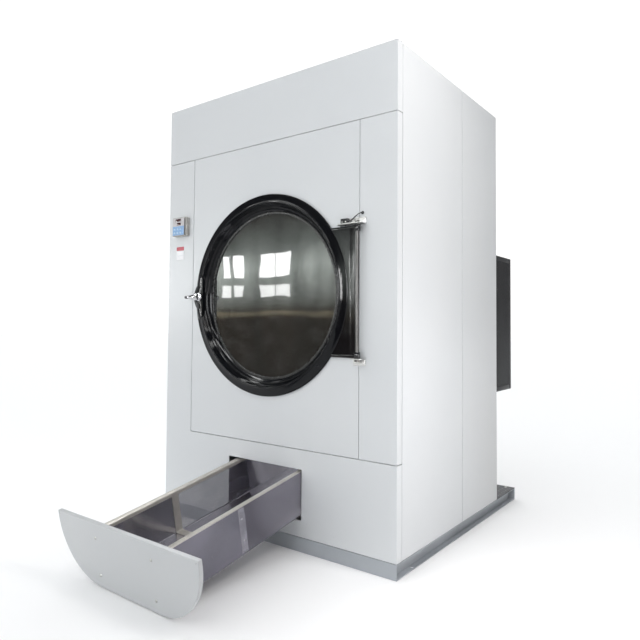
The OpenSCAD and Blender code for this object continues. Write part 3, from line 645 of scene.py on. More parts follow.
def checker_plate():
    """Dark painted deck with raised lozenges in alternate directions."""
    s = Shader("checker_plate")
    pitch = 34 * MM
    x, y, _ = s.split(s.place)
    u, v = s.times(x, 1 / pitch), s.times(y, 1 / pitch)
    odd = s.math("MODULO", s.math("ABSOLUTE", s.plus(s.math("FLOOR", u), s.math("FLOOR", v))),
                 2.0)
    du, dv = s.minus(s.part(u), 0.5), s.minus(s.part(v), 0.5)
    rise, fall = s.plus(du, dv), s.minus(du, dv)
    long_way = s.add("Mix", {0: odd, 2: rise, 3: fall}, data_type="FLOAT").outputs[0]
    short_way = s.add("Mix", {0: odd, 2: fall, 3: rise}, data_type="FLOAT").outputs[0]
    bead = s.ranged(s.length(long_way, s.times(short_way, 3.4)), 0.62, 0.45)
    worn = s.times(bead, s.ranged(s.noise(30, 5), 0.35, 0.6, 0.1, 0.8))
    tone = s.mixed(worn, (0.075, 0.076, 0.082), (0.16, 0.16, 0.165))
    dust = s.ranged(s.noise(12, 6, 0.7), 0.5, 0.8, 0, 0.4)
    return s.finish(Base_Color=s.mixed(dust, tone, (0.17, 0.165, 0.155)), Metallic=0.15,
                    Roughness=s.ranged(bead, 0, 1, 0.6, 0.42),
                    Normal=s.bump(bead, 0.0016, 0.9))


def plastic(name, colour, rough=0.4, tinge=0.9):
    """Moulded plastic with a fine spark-eroded texture."""
    s = Shader(name)
    cloud = s.ranged(s.noise(20, 4), 0.35, 0.7)
    return s.finish(Base_Color=s.mixed(cloud, colour, dimmed(colour, tinge)),
                    Roughness=s.ranged(s.noise(90, 4), 0.3, 0.7, rough - 0.05, rough + 0.08),
                    Normal=s.bump(s.noise(1500, 2), 0.00005, 0.6))


def hazy(name, clean, dull, haze, reach, rough, grain, bump, metal=0.0):
    """A smooth surface that turns duller and rougher in clouds."""
    s = Shader(name)
    cloud = s.ranged(s.noise(haze, 6, 0.7), 0.5, 0.8, 0, reach)
    return s.finish(Base_Color=s.mixed(cloud, clean, dull), Metallic=metal,
                    Roughness=s.ranged(cloud, 0, 1, *rough),
                    Normal=s.bump(s.noise(grain, 2), 0.0001, bump))


def cast_iron():
    """Rough grey casting."""
    s = Shader("cast_iron")
    grit = s.noise(260, 5, 0.65)
    cloud = s.ranged(s.noise(14, 5), 0.4, 0.7)
    return s.finish(Base_Color=s.mixed(cloud, (0.16, 0.165, 0.17), (0.11, 0.105, 0.10)),
                    Metallic=0.5, Roughness=s.ranged(grit, 0.3, 0.7, 0.5, 0.75),
                    Normal=s.bump(grit, 0.0005, 0.7))


def tinted_glass():
    """Toughened glass: a grey tint, a faint haze of dust and a slow ripple."""
    s = Shader("tinted_glass")
    dust = s.ranged(s.noise(13, 8, 0.7), 0.5, 0.85, 0, 1)
    normal = s.bump(s.noise(3.4, 2), 0.004, 0.25)
    clear = s.add("BsdfTransparent", {"Color": (0.52, 0.55, 0.53)})
    gloss = s.add("BsdfGlossy", {"Color": (1, 1, 1), "Roughness": 0.025, "Normal": normal})
    film = s.add("BsdfDiffuse", {"Color": (0.42, 0.44, 0.42)})
    rim = s.add("Fresnel", {"IOR": 2.0, "Normal": normal}).outputs[0]
    mirror = s.add("MixShader", {0: rim, 1: clear.outputs[0], 2: gloss.outputs[0]})
    haze = s.ranged(dust, 0, 1, 0.03, 0.10)
    return s.instead(s.add("MixShader", {0: haze, 1: mirror.outputs[0], 2: film.outputs[0]}))


def display_red():
    """A dark red window over unlit segments."""
    s = Shader("display_red")
    cell = s.part(s.times(s.split(s.place)[0], 1 / (12 * MM)))
    mark = s.ranged(s.math("ABSOLUTE", s.minus(cell, 0.5)), 0.22, 0.30, 0.5, 0)
    tone = s.mixed(mark, (0.030, 0.003, 0.006), (0.11, 0.008, 0.012))
    return s.finish(Base_Color=tone, Roughness=s.ranged(s.noise(80), 0.3, 0.7, 0.10, 0.2),
                    Normal=s.bump(s.noise(300, 2), 0.00002, 0.4))


def make_materials():
    """One material for each CAD slot, and the finer ones of some pieces."""
    return {
        "cabinet_paint": cabinet_white(),
        "base_steel": paint("base_paint", (0.40, 0.425, 0.455), 0.38, 0.72),
        "deck_steel": checker_plate(),
        "frame_steel": paint("frame_primer", (0.33, 0.345, 0.36), 0.5, 0.75),
        "galvanised": galvanised(),
        "stainless": steel("brushed_stainless", (0.62, 0.61, 0.59), 0.30),
        "chrome": hazy("polished_chrome", (0.55, 0.55, 0.57), (0.44, 0.44, 0.45), 50, 1,
                       (0.09, 0.2), 40, 0.3, 1.0),
        "door_black": gloss_black("gloss_black", 0.22),
        "wing_black": gloss_black("wing_black", 0.55),
        "glass": tinted_glass(),
        "rubber": hazy("black_rubber", (0.012, 0.012, 0.013), (0.035, 0.035, 0.036), 45, 0.6,
                       (0.5, 0.72), 600, 0.5),
        "black_plastic": plastic("black_plastic", (0.022, 0.022, 0.024), 0.38, 0.6),
        "control_grey": plastic("control_grey", (0.36, 0.355, 0.335), 0.36),
        "keypad": plastic("keypad_film", (0.25, 0.43, 0.70), 0.28),
        "key_cap": plastic("key_caps", (0.40, 0.60, 0.82), 0.25),
        "label": plastic("label_film", (0.74, 0.75, 0.77), 0.35, 0.94),
        "motor_paint": paint("motor_paint", (0.10, 0.155, 0.20), 0.45, 0.75),
        "coil_steel": steel("coil_tube", (0.42, 0.38, 0.34), 0.42, (40, 1, 40)),
        "cast": cast_iron(),
        "guard_black": paint("guard_black", (0.012, 0.012, 0.014), 0.42, 0.6),
        "drawer_sheet": drawer_metal("drawer_outside", (0.185, 0.178, 0.218),
                                     (0.140, 0.136, 0.165), 0.5, 0.16),
        "drawer_inside": drawer_metal("drawer_inside", (0.46, 0.45, 0.48),
                                      (0.34, 0.33, 0.36), 0.92, 0.09),
        "drawer_screen": filter_screen(),
        "screw_zinc": steel("zinc_screw", (0.55, 0.55, 0.53), 0.34, (30, 30, 1)),
        "drum": perforated_steel(),
        "bright_steel": steel("bright_stainless", (0.68, 0.68, 0.67), 0.34),
        "rail_steel": steel("rail_stainless", (0.56, 0.53, 0.49), 0.30, (60, 1, 60), 0.35, 0.55),
        "strap_steel": steel("strap_sheet", (0.30, 0.29, 0.33), 0.22, (60, 1, 60), 0.2, 0.5),
        # painted shade: the rod's stainless is darkened to 0.11, in place of its dim reflection
        "rod_steel_painted_shade": steel("rod_steel_painted_shade", (0.11, 0.107, 0.104), 0.34, (40, 40, 1), 0.3),
        # painted shade: the drawer front is the cabinet coat dimmed to 0.79, in place of the
        # shade that falls on it
        "front_paint_painted_shade": cabinet_white("drawer_front_white_painted_shade", 0.79),
        "overlay": plastic("control_overlay", (0.56, 0.54, 0.55), 0.3),
        "dark_chrome": steel("dark_chrome", (0.16, 0.16, 0.17), 0.25, (30, 1, 1)),
        "lip": plastic("gasket_lip", (0.012, 0.012, 0.013), 0.26),
        "display": display_red(),
        "pip": plastic("key_pip", (0.80, 0.86, 0.92), 0.3),
        "band": plastic("plate_band", (0.52, 0.06, 0.09), 0.3, 0.8),
        "field": plastic("plate_field", (0.84, 0.84, 0.86), 0.3),
    }


def dress_cad():
    """Every CAD node gets its slot's material, and the casing slightly rounded edges."""
    round_edges = {"cabinet_paint": 1.6 * MM, "base_steel": 1.5 * MM, "frame_steel": 1.2 * MM}
    own = {"drum_shell": "drum"}
    for name, node in NODES.items():
        slot = node.data.materials[0].name
        node.data.materials.clear()
        node.data.materials.append(LOOKS[own.get(name, slot)])
        if slot in round_edges:
            weld = node.modifiers.new("weld", "WELD")
            weld.merge_threshold = 0.02 * MM
            bevel = node.modifiers.new("edge", "BEVEL")
            bevel.width = round_edges[slot]
            bevel.segments = 2
            bevel.limit_method = "ANGLE"
            bevel.angle_limit = radians(50)
            bevel.harden_normals = True


# ---- the door ----

def handle_pad(bm, outer, crest_y):
    """The pad that carries the handle: straight inside, round outside, and sloped
    from the crest down to the flange."""
    lug_r, lug_x, inner_x, half = 0.097, -0.448, -0.463, 0.132
    rows = 66
    bevel = 3 * MM
    end_drops = (0.012, 0.008, 0.005, 0.003, 0.0015)
    high, low, back = crest_y + 0.4 * MM, FRONT - 0.0125, FRONT - 2 * MM
    rings = []
    for i in range(rows + 1):
        dz = -half + 2 * half * i / rows
        lug = lug_x - sqrt(lug_r ** 2 - dz ** 2) if abs(dz) < lug_r else 0
        x0 = min(lug, -sqrt((outer - 2 * MM) ** 2 - dz ** 2))
        from_end = min(i, rows - i)
        top = high + (end_drops[from_end] if from_end < len(end_drops) else 0)
        loop = [(inner_x, back), (inner_x, top + bevel), (inner_x - 0.3 * bevel, top),
                (inner_x - 0.018, top), (x0 + bevel, low), (x0, low + bevel), (x0, back)]
        rings.append([(x, min(y, back), AXIS_Z + dz) for x, y in loop])
    add_grid(bm, rings, cap=True)


def door_ring():
    """The pressed ring: flat flange, rolled crest, stepped wall down to the glass."""
    lo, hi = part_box("door_ring")
    outer, crest_y, back = hi.x, lo.y, hi.y
    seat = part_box("door_glass")[1].x + 8 * MM
    crest_r = outer - 0.045
    wall, plug = crest_r - 0.020, crest_r - 0.012
    f, step = FRONT, FRONT + 0.016
    profile = (
        [(outer - 0.0015, f - 0.001), (outer, f - 0.0025), (outer, f - 0.006)]
        + arc(outer - 0.004, f - 0.006, 0.004, 0, -75, 5)
        + [(outer - 0.012, f - 0.0112), (crest_r + 0.0072, crest_y + 0.0050)]
        + arc(crest_r + 0.0003, crest_y + 0.0048, 0.0048, -12, -172, 12)
        + [(crest_r - 0.0095, f - 0.002), (wall + 0.0065, step - 0.006)]
        + arc(wall - 0.0010, step + 0.0010, 0.0042, -30, -172, 8)
        + [(wall - 0.007, step + 0.006), (seat + 0.004, f + 0.028), (seat, f + 0.032),
           (seat, back - 0.0005), (seat + 0.004, back - 0.0005),
           (seat + 0.004, f + 0.030), (plug - 0.004, f + 0.012),
           (plug - 0.004, back), (plug, back), (plug, f + 0.003), (plug + 0.006, f - 0.001)])
    bm = bmesh.new()
    add_lathe(bm, profile, (0, AXIS_Z), 224)
    handle_pad(bm, outer, crest_y)
    piece("door_ring_pressed", bm, "door_black", "door_ring", "door", sharp=42)


def door_glass():
    """The round pane with a ground edge."""
    lo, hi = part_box("door_glass")
    r, y0, y1 = hi.x, lo.y, hi.y
    ground = 1.5 * MM
    rings = [(0.002, y0), (r * 0.5, y0), (r - ground, y0), (r, y0 + ground),
             (r, y1 - ground), (r - ground, y1), (r * 0.5, y1), (0.002, y1)]
    turned("door_glass_pane", rings, (0, AXIS_Z), 160, "Y", False, "glass", "door_glass", "door")


def glass_gasket():
    """The rubber lip that holds the pane."""
    glass_lo, glass_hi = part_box("door_glass")
    r, y0, y1 = glass_hi.x, glass_lo.y, glass_hi.y
    _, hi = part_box("glass_gasket")
    out, back = hi.x, hi.y
    profile = ([(out, y0 - 0.001)] + arc(out - 0.003, y0 - 0.003, 0.003, 0, -80, 3)
               + [(r + 0.002, y0 - 0.0055)] + arc(r - 0.004, y0 - 0.0025, 0.003, -90, -200, 5)
               + [(r - 0.006, y0 - 0.0002), (r + 0.0002, y0 - 0.0002), (r + 0.0002, y1 + 0.0002),
                  (r - 0.006, y1 + 0.0002), (r - 0.006, back - 0.001), (r - 0.004, back),
                  (out, back)])
    turned("glass_gasket_lip", profile, (0, AXIS_Z), 160, "Y", True, "lip", "glass_gasket",
           "door", "rubber")


def hinge_plate():
    """The black wing between ring and rod: its left side follows the ring, its
    right side is rolled, and its top and bottom are lipped."""
    lo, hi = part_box("hinge_plate")
    low, top = lo.z, hi.z
    ring_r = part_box("door_ring")[1].x
    edge = HINGE.x - 0.018
    y0, y1 = FRONT - 0.014, FRONT - 0.002
    field = y0 + 0.0055
    roll, roll_steps, rows, lip = 0.040, 12, 60, 0.014
    section = [(edge - roll - 0.004, field), (edge - roll, field - 0.0004)]
    for i in range(1, roll_steps):
        section.append((edge - roll * (1 - i / roll_steps),
                        field - (field - y0) * sin(pi / 2 * i / roll_steps)))
    section += [(edge - 0.0008, y0 + 0.0016), (edge, y0 + 0.005), (edge, y1 - 0.001),
                (edge - 0.001, y1)]
    rings = []
    for i in range(rows + 1):
        z = low + (top - low) * i / rows
        left = sqrt(max(0, (ring_r - 0.004) ** 2 - (z - AXIS_Z) ** 2))
        rings.append([(left, y1, z), (left, field, z)] + [(x, y, z) for x, y in section])
    bm = bmesh.new()
    add_grid(bm, rings, cap=True)
    for z0 in (top - lip, low):
        far = max(abs(z0 - AXIS_Z), abs(z0 + lip - AXIS_Z))
        x0 = sqrt(ring_r ** 2 - far ** 2) + 0.006
        add_box(bm, (x0, y0 + 0.0005, z0), (edge - 0.002, y1, z0 + lip), 0.0025, 3)
    hinge_sleeves(bm, low, top, edge)
    piece("hinge_wing", bm, "wing_black", "hinge_plate", "door", "door_black", 50)


def hinge_sleeves(bm, low, top, edge):
    """The two short tubes round the rod, each with its neck to the plate's edge."""
    tall, r, bore, chamfer = 0.030, 0.014, 0.0085, 1 * MM
    for z0 in (low, top - tall):
        z1 = z0 + tall
        tube = [(r - chamfer, z0), (r, z0 + chamfer), (r, z1 - chamfer), (r - chamfer, z1),
                (bore, z1), (bore, z0)]
        add_lathe(bm, tube, HINGE.xy, 40, "Z")
        add_box(bm, (edge - 0.006, FRONT - 0.020, z0 + chamfer),
                (HINGE.x - 0.0095, FRONT - 0.006, z1 - chamfer), 2 * MM)


def hex_head(bm, z0, z1, r=0.013):
    """A hexagon head on the hinge rod, from z0 to its chamfered crown at z1."""
    profile = [(r, z0), (r, z1 - 1.5 * MM), (r * 0.86, z1)]
    add_lathe(bm, profile, HINGE.xy, 6, "Z", closed=False)


def hinge_rod():
    """The stainless rod that the door swings on, with a hexagon head at each end."""
    lo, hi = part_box("hinge_rod")
    r, chamfer = 8 * MM, 1.5 * MM
    bm = bmesh.new()
    rings = [(r - chamfer, lo.z), (r, lo.z + chamfer), (r, hi.z - chamfer),
             (r - chamfer, hi.z)]
    add_lathe(bm, rings, HINGE.xy, 40, "Z", closed=False)
    hex_head(bm, lo.z + 0.010, lo.z + 0.002)
    hex_head(bm, hi.z - 0.010, hi.z - 0.002)
    # the rod wears the darkened stainless: painted shade
    piece("hinge_rod_turned", bm, "rod_steel_painted_shade", "hinge_rod", slot="stainless")


def pan_screw(bm, x, y, z, r=0.005, proud=0.0026):
    """A domed screw head facing the front, with a crossed recess."""
    steps = 24
    dome = ((r, y), (r, y - 0.3 * proud), (r * 0.88, y - 0.75 * proud), (r * 0.6, y - proud),
            (r * 0.45, y - proud))
    rings = [circle(q, h, (x, z), steps, "Y") for q, h in dome]
    cross = []
    for i in range(steps):
        a = 2 * pi * i / steps
        arm = r * (0.42 if i % 6 in (0, 1, 5) else 0.16)
        cross.append((arm * cos(a), arm * sin(a)))
    rings.append([(x + u, y - proud, z + v) for u, v in cross])
    rings.append([(x + 0.8 * u, y - 0.35 * proud, z + 0.8 * v) for u, v in cross])
    add_grid(bm, rings, cap=True)


def bracket(bm, x0, x1, shelf, flange, notch):
    """A bent angle: a shelf that carries the rod and a flange screwed to the front.
    Shelf and flange are heights from and to, and notch is the shelf's left side."""
    depth, t, r = 0.048, 0.004, 0.004
    front = FRONT - depth
    add_box(bm, (x0, FRONT - t, min(flange[0], shelf[0])),
            (x1, FRONT, max(flange[1], shelf[1])), 1.2 * MM)
    outline = [(x0, FRONT - 0.001), *notch, (x0 + 0.012, front)]
    outline += [(x1 - r + s, front + c) for s, c in quarter(r, 5)]
    outline += [(x1, FRONT - 0.001)]
    add_bar(bm, outline, shelf, "Z")


def hinge_brackets():
    """The two angles that carry the rod, and the screws through their flanges."""
    lo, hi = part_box("hinge_brackets")
    plate_lo, plate_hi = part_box("hinge_plate")
    top, low, t = plate_hi.z + 0.004, plate_lo.z - 0.0005, 0.004
    low_x, top_x1 = 0.555, 0.622
    bm = bmesh.new()
    bracket(bm, lo.x, top_x1, (top, top + t), (top, hi.z),
            [(lo.x, FRONT - 0.022), (lo.x + 0.006, FRONT - 0.030)])
    bracket(bm, low_x, hi.x, (low - t, low), (lo.z, low), [(low_x, FRONT - 0.036)])
    for x in (0.548, 0.568, 0.606):
        pan_screw(bm, x, FRONT - t, top + 0.021, 0.0042)
    for x in (0.567, 0.610):
        pan_screw(bm, x, FRONT - t, low - 0.021, 0.0042)
    piece("hinge_brackets_bent", bm, "bright_steel", "hinge_brackets", slot="stainless")


def switch():
    """The door switch: a ribbed black body with two fixing screws."""
    lo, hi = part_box("switch_body")
    waist = 1.5 * MM
    bm = bmesh.new()
    add_box(bm, (lo.x, lo.y + waist, lo.z), (hi.x, hi.y, hi.z), 0.0014, 3)
    add_box(bm, (lo.x + 0.004, lo.y, lo.z + 0.003), (hi.x - 0.004, lo.y + 0.006, hi.z - 0.007),
            0.001)
    for x in (lo.x + 0.009, hi.x - 0.009):
        add_box(bm, (x - 0.005, lo.y + 0.003, hi.z - 0.004), (x + 0.005, hi.y - 0.003, hi.z),
                0.0008)
    piece("switch_case", bm, "black_plastic", "switch_body")
    bm = bmesh.new()
    for x in (lo.x + 0.010, hi.x - 0.010):
        pan_screw(bm, x, lo.y, (lo.z + hi.z) / 2 - 0.002, 0.0035, 0.0015)
    piece("switch_screws", bm, "screw_zinc")


def switch_plunger():
    """The switch's sprung pin."""
    lo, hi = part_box("switch_plunger")
    x, y = (lo.x + hi.x) / 2, (lo.y + hi.y) / 2
    r = (hi.x - lo.x) / 2
    rings = [(r * 0.3, lo.z), (r * 0.75, lo.z + 0.0004), (r, lo.z + 0.0014), (r, hi.z - 0.0004),
             (r * 0.9, hi.z)]
    turned("switch_pin_turned", rings, (x, y), 32, "Z", False, "black_plastic",
           "switch_plunger", "switch_pin")


def switch_wire():
    """The black lead from the switch up into the front panel, and its grommet."""
    lo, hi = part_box("switch_wire")
    r = 2.5 * MM
    path = [(lo.x + 0.002, lo.y + r, lo.z + r), (lo.x + 0.012, lo.y + r, lo.z + r),
            (lo.x + 0.024, lo.y + r + 0.0005, lo.z + r + 0.005),
            (lo.x + 0.040, lo.y + r + 0.002, lo.z + r + 0.019),
            (hi.x - 0.016, lo.y + r + 0.004, hi.z - 0.008),
            (hi.x - 0.006, lo.y + 0.009, hi.z - r - 0.0005),
            (hi.x - r, FRONT - 0.002, hi.z - r - 0.0005)]
    piece("switch_lead", tube_mesh("switch_lead", path, r * 0.98), "black_plastic",
          "switch_wire", sharp=60)
    ring = [(0.0075, FRONT), (0.0075, FRONT - 0.0015), (0.0060, FRONT - 0.0028),
            (0.0030, FRONT - 0.0030), (0.0026, FRONT - 0.001), (0.0026, FRONT)]
    turned("switch_grommet", ring, (path[-1][0], path[-1][2]), 32, "Y", True, "rubber")


def door_handle():
    """The turn handle: a domed boss, a waisted lever to the left and a round tip."""
    lo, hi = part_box("door_handle")
    x, y0, z = Vector(JOINTS["handle_turn"]["pos_m"])
    boss, washer, shaft = FRONT - 0.021, FRONT + 0.008, 0.0078
    neck = x - lo.x
    bm = bmesh.new()
    add_lathe(bm, [(0.0235, boss), (0.024, boss - 0.001), (0.024, boss - 0.005),
                   (0.0225, boss - 0.0085), (0.018, boss - 0.0125), (0.014, boss - 0.0146),
                   (0.006, y0), (0.001, y0)], (x, z), 64, closed=False)
    add_lathe(bm, [(shaft, y0 + 0.004), (shaft, hi.y - 0.0006), (0.0070, hi.y)],
              (x, z), 40, closed=False)
    arm = [(0.016, -0.010), (0.0200, 0.000), (0.0195, 0.012), (0.0160, 0.032),
           (0.0118, 0.052), (0.0090, 0.072), (0.0084, neck - 0.030), (0.0088, neck - 0.024)]
    add_lathe(bm, [(r, x - d) for r, d in arm], (y0, z), 48, "X", closed=False)
    add_lathe(bm, [(0.012, washer), (0.0125, washer + 0.0005), (0.0125, washer + 0.0095),
                   (0.012, hi.y), (shaft, hi.y), (shaft, washer)], (x, z), 48)
    piece("handle_body", bm, "chrome", "door_handle", "handle", sharp=40)
    tip = [(shaft, neck - 0.0235), (0.0090, neck - 0.0215), (0.0090, neck - 0.004),
           (0.0082, neck - 0.0012), (0.0060, neck), (0.001, neck)]
    turned("handle_tip", [(r, x - d) for r, d in tip], (y0, z), 40, "X", False, "dark_chrome",
           body="handle", slot="chrome")


# ---- controls ----

def key_holes():
    """The hole round each key, with a little room."""
    room = 0.3 * MM
    boxes = [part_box(f"key_{i}") for i in range(1, 7)]
    return [(lo.x - room, hi.x + room, lo.z - room, hi.z + room) for lo, hi in boxes]


def control_box():
    """The moulded box: soft corners, a sloped right cheek and a pale overlay."""
    lo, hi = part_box("control_box")
    face, cheek = lo.y, hi.x - 0.011
    bm = bmesh.new()
    rings = slab_rings(face, hi.y, 2.2 * MM)[:4] + [(0, hi.y - 0.5 * MM), (0.5 * MM, hi.y)]
    add_loft(bm, rounded_rect(lo.x, hi.x, lo.z, hi.z, 6 * MM, 5), rings)
    for v in bm.verts:
        if v.co.x > cheek and v.co.y < face + 0.012:
            v.co.y = max(v.co.y, face + (v.co.x - cheek) * 0.75)
    piece("control_case", bm, "control_grey", "control_box", sharp=30)
    bm = bmesh.new()
    outer = (lo.x + 0.0025, hi.x - 0.0125, lo.z + 0.0035, hi.z - 0.0035)
    pierced_slab(bm, outer, key_holes(), face - 0.2 * MM, face + 1 * MM)
    piece("control_overlay", bm, "overlay", slot="control_grey")
    bm = bmesh.new()
    for end in (lo.z + 0.010, hi.z - 0.0045):
        pan_screw(bm, hi.x - 0.0115, face, end, 0.0022, 0.0008)
    piece("control_screws", bm, "screw_zinc")


def control_face():
    """The blue keypad film and the two dark display windows."""
    lo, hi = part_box("control_box")
    x0, z0, face = lo.x, lo.z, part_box("control_face")[0].y
    edge = 1.6 * MM
    bm = bmesh.new()
    outer = (x0 + 0.003, hi.x - 0.014, z0 + 0.005, z0 + 0.058)
    pierced_slab(bm, outer, key_holes(), face, face + 2 * MM)
    piece("keypad_film", bm, "keypad", "control_face")
    frames, glasses = bmesh.new(), bmesh.new()
    for a, b, c, d in ((0.026, 0.074, 0.085, 0.101), (0.039, 0.074, 0.063, 0.079)):
        add_slab(frames, (x0 + a, x0 + b, z0 + c, z0 + d), 1.5 * MM, 3, face + 0.1 * MM,
                 face + 2 * MM, 0.4 * MM, 2)
        add_slab(glasses, (x0 + a + edge, x0 + b - edge, z0 + c + edge, z0 + d - edge),
                 1 * MM, 3, face, face + 1 * MM, 0.3 * MM, 2)
    piece("display_frames", frames, "black_plastic")
    piece("display_windows", glasses, "display", slot="keypad")


def keys():
    """Six domed caps with a small round pip each."""
    for i in range(1, 7):
        lo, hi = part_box(f"key_{i}")
        bm = bmesh.new()
        rings = slab_rings(lo.y + 0.0003, hi.y, 0.0009)
        add_loft(bm, rounded_rect(lo.x, hi.x, lo.z, hi.z, 0.0028, 4),
                 [(0.0035, lo.y + 0.00005)] + rings)
        piece(f"key_cap_{i}", bm, "key_cap", f"key_{i}", f"key_{i}")
        profile = [(0.0017, lo.y + 0.0006), (0.0017, lo.y + 0.00005), (0.0012, lo.y),
                   (0.0003, lo.y)]
        turned(f"key_pip_{i}", profile, ((lo.x + hi.x) / 2, (lo.z + hi.z) / 2), 20, "Y", False,
               "pip", body=f"key_{i}", slot="key_cap")


def rating_plate():
    """A plain plate: a coloured band above and two empty pale fields below."""
    lo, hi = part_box("rating_label")
    tall = hi.z - lo.z
    bm = bmesh.new()
    add_slab(bm, (lo.x, hi.x, lo.z, hi.z), 3 * MM, 4, lo.y + 0.2 * MM, hi.y, 0.2 * MM, 2)
    piece("plate_body", bm, "label", "rating_label")
    bm = bmesh.new()
    add_slab(bm, (lo.x + 0.002, hi.x - 0.002, hi.z - 0.30 * tall, hi.z - 0.002), 2 * MM, 3,
             lo.y + 0.05 * MM, lo.y + 0.6 * MM, 0.1 * MM, 1)
    piece("plate_band", bm, "band", slot="label")
    bm = bmesh.new()
    for low, high in ((0.05, 0.30), (0.36, 0.62)):
        add_slab(bm, (lo.x + 0.006, hi.x - 0.006, lo.z + low * tall, lo.z + high * tall),
                 1.5 * MM, 3, lo.y + 0.1 * MM, lo.y + 0.6 * MM, 0.1 * MM, 1)
    piece("plate_fields", bm, "field", slot="label")


# ---- the lint drawer, built level and shut in its own frame ----

def u_section(x, z, top, radius):
    """Half a width x each way, floor at z, walls up to top, rounded where they bend."""
    right = [(x - radius + s, z + c) for s, c in quarter(radius, 5)] + [(x, top)]
    return [(-px, pz) for px, pz in reversed(right)] + right


def drawer_tray():
    """A trough bent from one sheet, with end plates. Behind the brace its side
    walls are a fine screen."""
    lo, hi = local_box("drawer_tray")
    brace_lo, brace_hi = local_box("drawer_brace")
    t, r = 2 * MM, 6 * MM
    split = (brace_lo.y + brace_hi.y) / 2
    bm = bmesh.new()
    outside = u_section(hi.x, lo.z, hi.z, r)
    loop = outside + u_section(hi.x - t, lo.z + t, hi.z, r - t)[::-1]
    add_bar(bm, loop, (lo.y + t, split, hi.y - t))
    for ends in ((lo.y, lo.y + t), (hi.y - t, hi.y)):
        add_bar(bm, outside, ends)
    trough = drawer_piece("drawer_trough", bm, "drawer_sheet", "drawer_tray")
    trough.materials.append(LOOKS["drawer_inside"])
    trough.materials.append(LOOKS["drawer_screen"])
    for face in trough.polygons:
        x, y, z = face.center
        deep = min(hi.x - abs(x), z - lo.z, y - lo.y, hi.y - y)
        face.material_index = int(deep > t / 2)
        upright = abs(face.normal.x) > 0.99 and abs(x) > hi.x - 2 * t
        if upright and split < y < hi.y - t:
            face.material_index = 2


def drawer_straps():
    """Where the brace is riveted on: a strap and two rivets on each side wall."""
    lo, hi = local_box("drawer_tray")
    brace_lo, brace_hi = local_box("drawer_brace")
    strap, sunk = 0.8 * MM, 0.4 * MM
    bm = bmesh.new()
    for side in (-1, 1):
        x = sorted((side * (hi.x - sunk), side * (hi.x + strap)))
        add_box(bm, (x[0], brace_lo.y, lo.z + 0.010), (x[1], brace_hi.y, hi.z - 0.003),
                0.3 * MM, 1)
    drawer_piece("drawer_side_straps", bm, "strap_steel", slot="drawer_sheet")
    bm = bmesh.new()
    for share in (0.30, 0.76):
        centre = ((brace_lo.y + brace_hi.y) / 2, lo.z + share * (hi.z - lo.z))
        for side in (-1, 1):
            rivet(bm, side * (hi.x + strap - sunk), centre, side)
    drawer_piece("drawer_rivets", bm, "screw_zinc")


def rivet(bm, x, centre, side, r=0.0042):
    """A flat round rivet head on a side wall."""
    profile = [(r, x), (r * 0.9, x + side * 0.00035), (r * 0.55, x + side * 0.0006)]
    add_lathe(bm, profile, centre, 16, "X", closed=False)


def drawer_rails():
    """Top flanges with an inner leg, bent from one strip each."""
    lo, hi = local_box("drawer_rails")
    t, width, r = 3 * MM, 28 * MM, 4 * MM
    bend = hi.x - width + r
    upper = ([(hi.x, hi.z)] + [(bend - s, hi.z - c) for s, c in quarter(r, 4)]
             + [(bend - r, lo.z)])
    lower = ([(hi.x, hi.z - t)] + [(bend - s, hi.z - t - c) for s, c in quarter(r - t, 4)]
             + [(bend - r + t, lo.z)])
    bm = bmesh.new()
    for side in (-1, 1):
        add_bar(bm, [(side * x, z) for x, z in upper + lower[::-1]], (lo.y, hi.y))
    drawer_piece("drawer_top_rails", bm, "rail_steel", "drawer_rails", "stainless")


def drawer_brace():
    """A U-shaped strap across the trough, riveted to its walls."""
    lo, hi = local_box("drawer_brace")
    t, r = 3.5 * MM, 12 * MM
    loop = u_section(hi.x, lo.z, hi.z, r) + u_section(hi.x - t, lo.z + t, hi.z, r - t)[::-1]
    bm = bmesh.new()
    add_bar(bm, loop, (lo.y, hi.y))
    drawer_piece("drawer_strap", bm, "rail_steel", "drawer_brace", "stainless")


def front_outline(x, z0, z1):
    """The front plate: square at the top, large quarter rounds at the bottom."""
    r, corner = 0.262, 3.5 * MM
    right = [(x - r + s, z0 + c) for s, c in quarter(r, 18)]
    right += [(x, z1 - corner), (x - 0.3 * corner, z1 - 0.3 * corner), (x - corner, z1)]
    return [(-px, pz) for px, pz in reversed(right)] + right


def drawer_front():
    """The white front: a skin with a folded rim, and the stiffener behind it."""
    lo, hi = local_box("drawer_front")
    front, back = lo.y, hi.y
    t, r = 2 * MM, 3.5 * MM
    rings = [(r - s, front + c) for s, c in quarter(r, 4)]
    rings += [(0, back - 0.0005), (0.0005, back), (t - 0.0003, back), (t, back - 0.0004),
              (t, front + r), (t + 0.0015, front + t)]
    bm = bmesh.new()
    add_loft(bm, front_outline(hi.x, lo.z, hi.z), rings)
    half = local_box("drawer_tray")[1].x
    low, high, post = 0.030, 0.215, 0.060
    for x0, x1, z0, z1 in ((-half, half, 0.177, high), (-half, half, low, 0.060),
                           (-half, -half + post, low, high), (half - post, half, low, high)):
        add_box(bm, (x0, front + t, z0), (x1, back - 0.4 * MM, z1), 1.5 * MM)
    # the front wears the dimmed copy of the cabinet white: painted shade
    drawer_piece("drawer_front_skin", bm, "front_paint_painted_shade", "drawer_front", "cabinet_paint", 30)


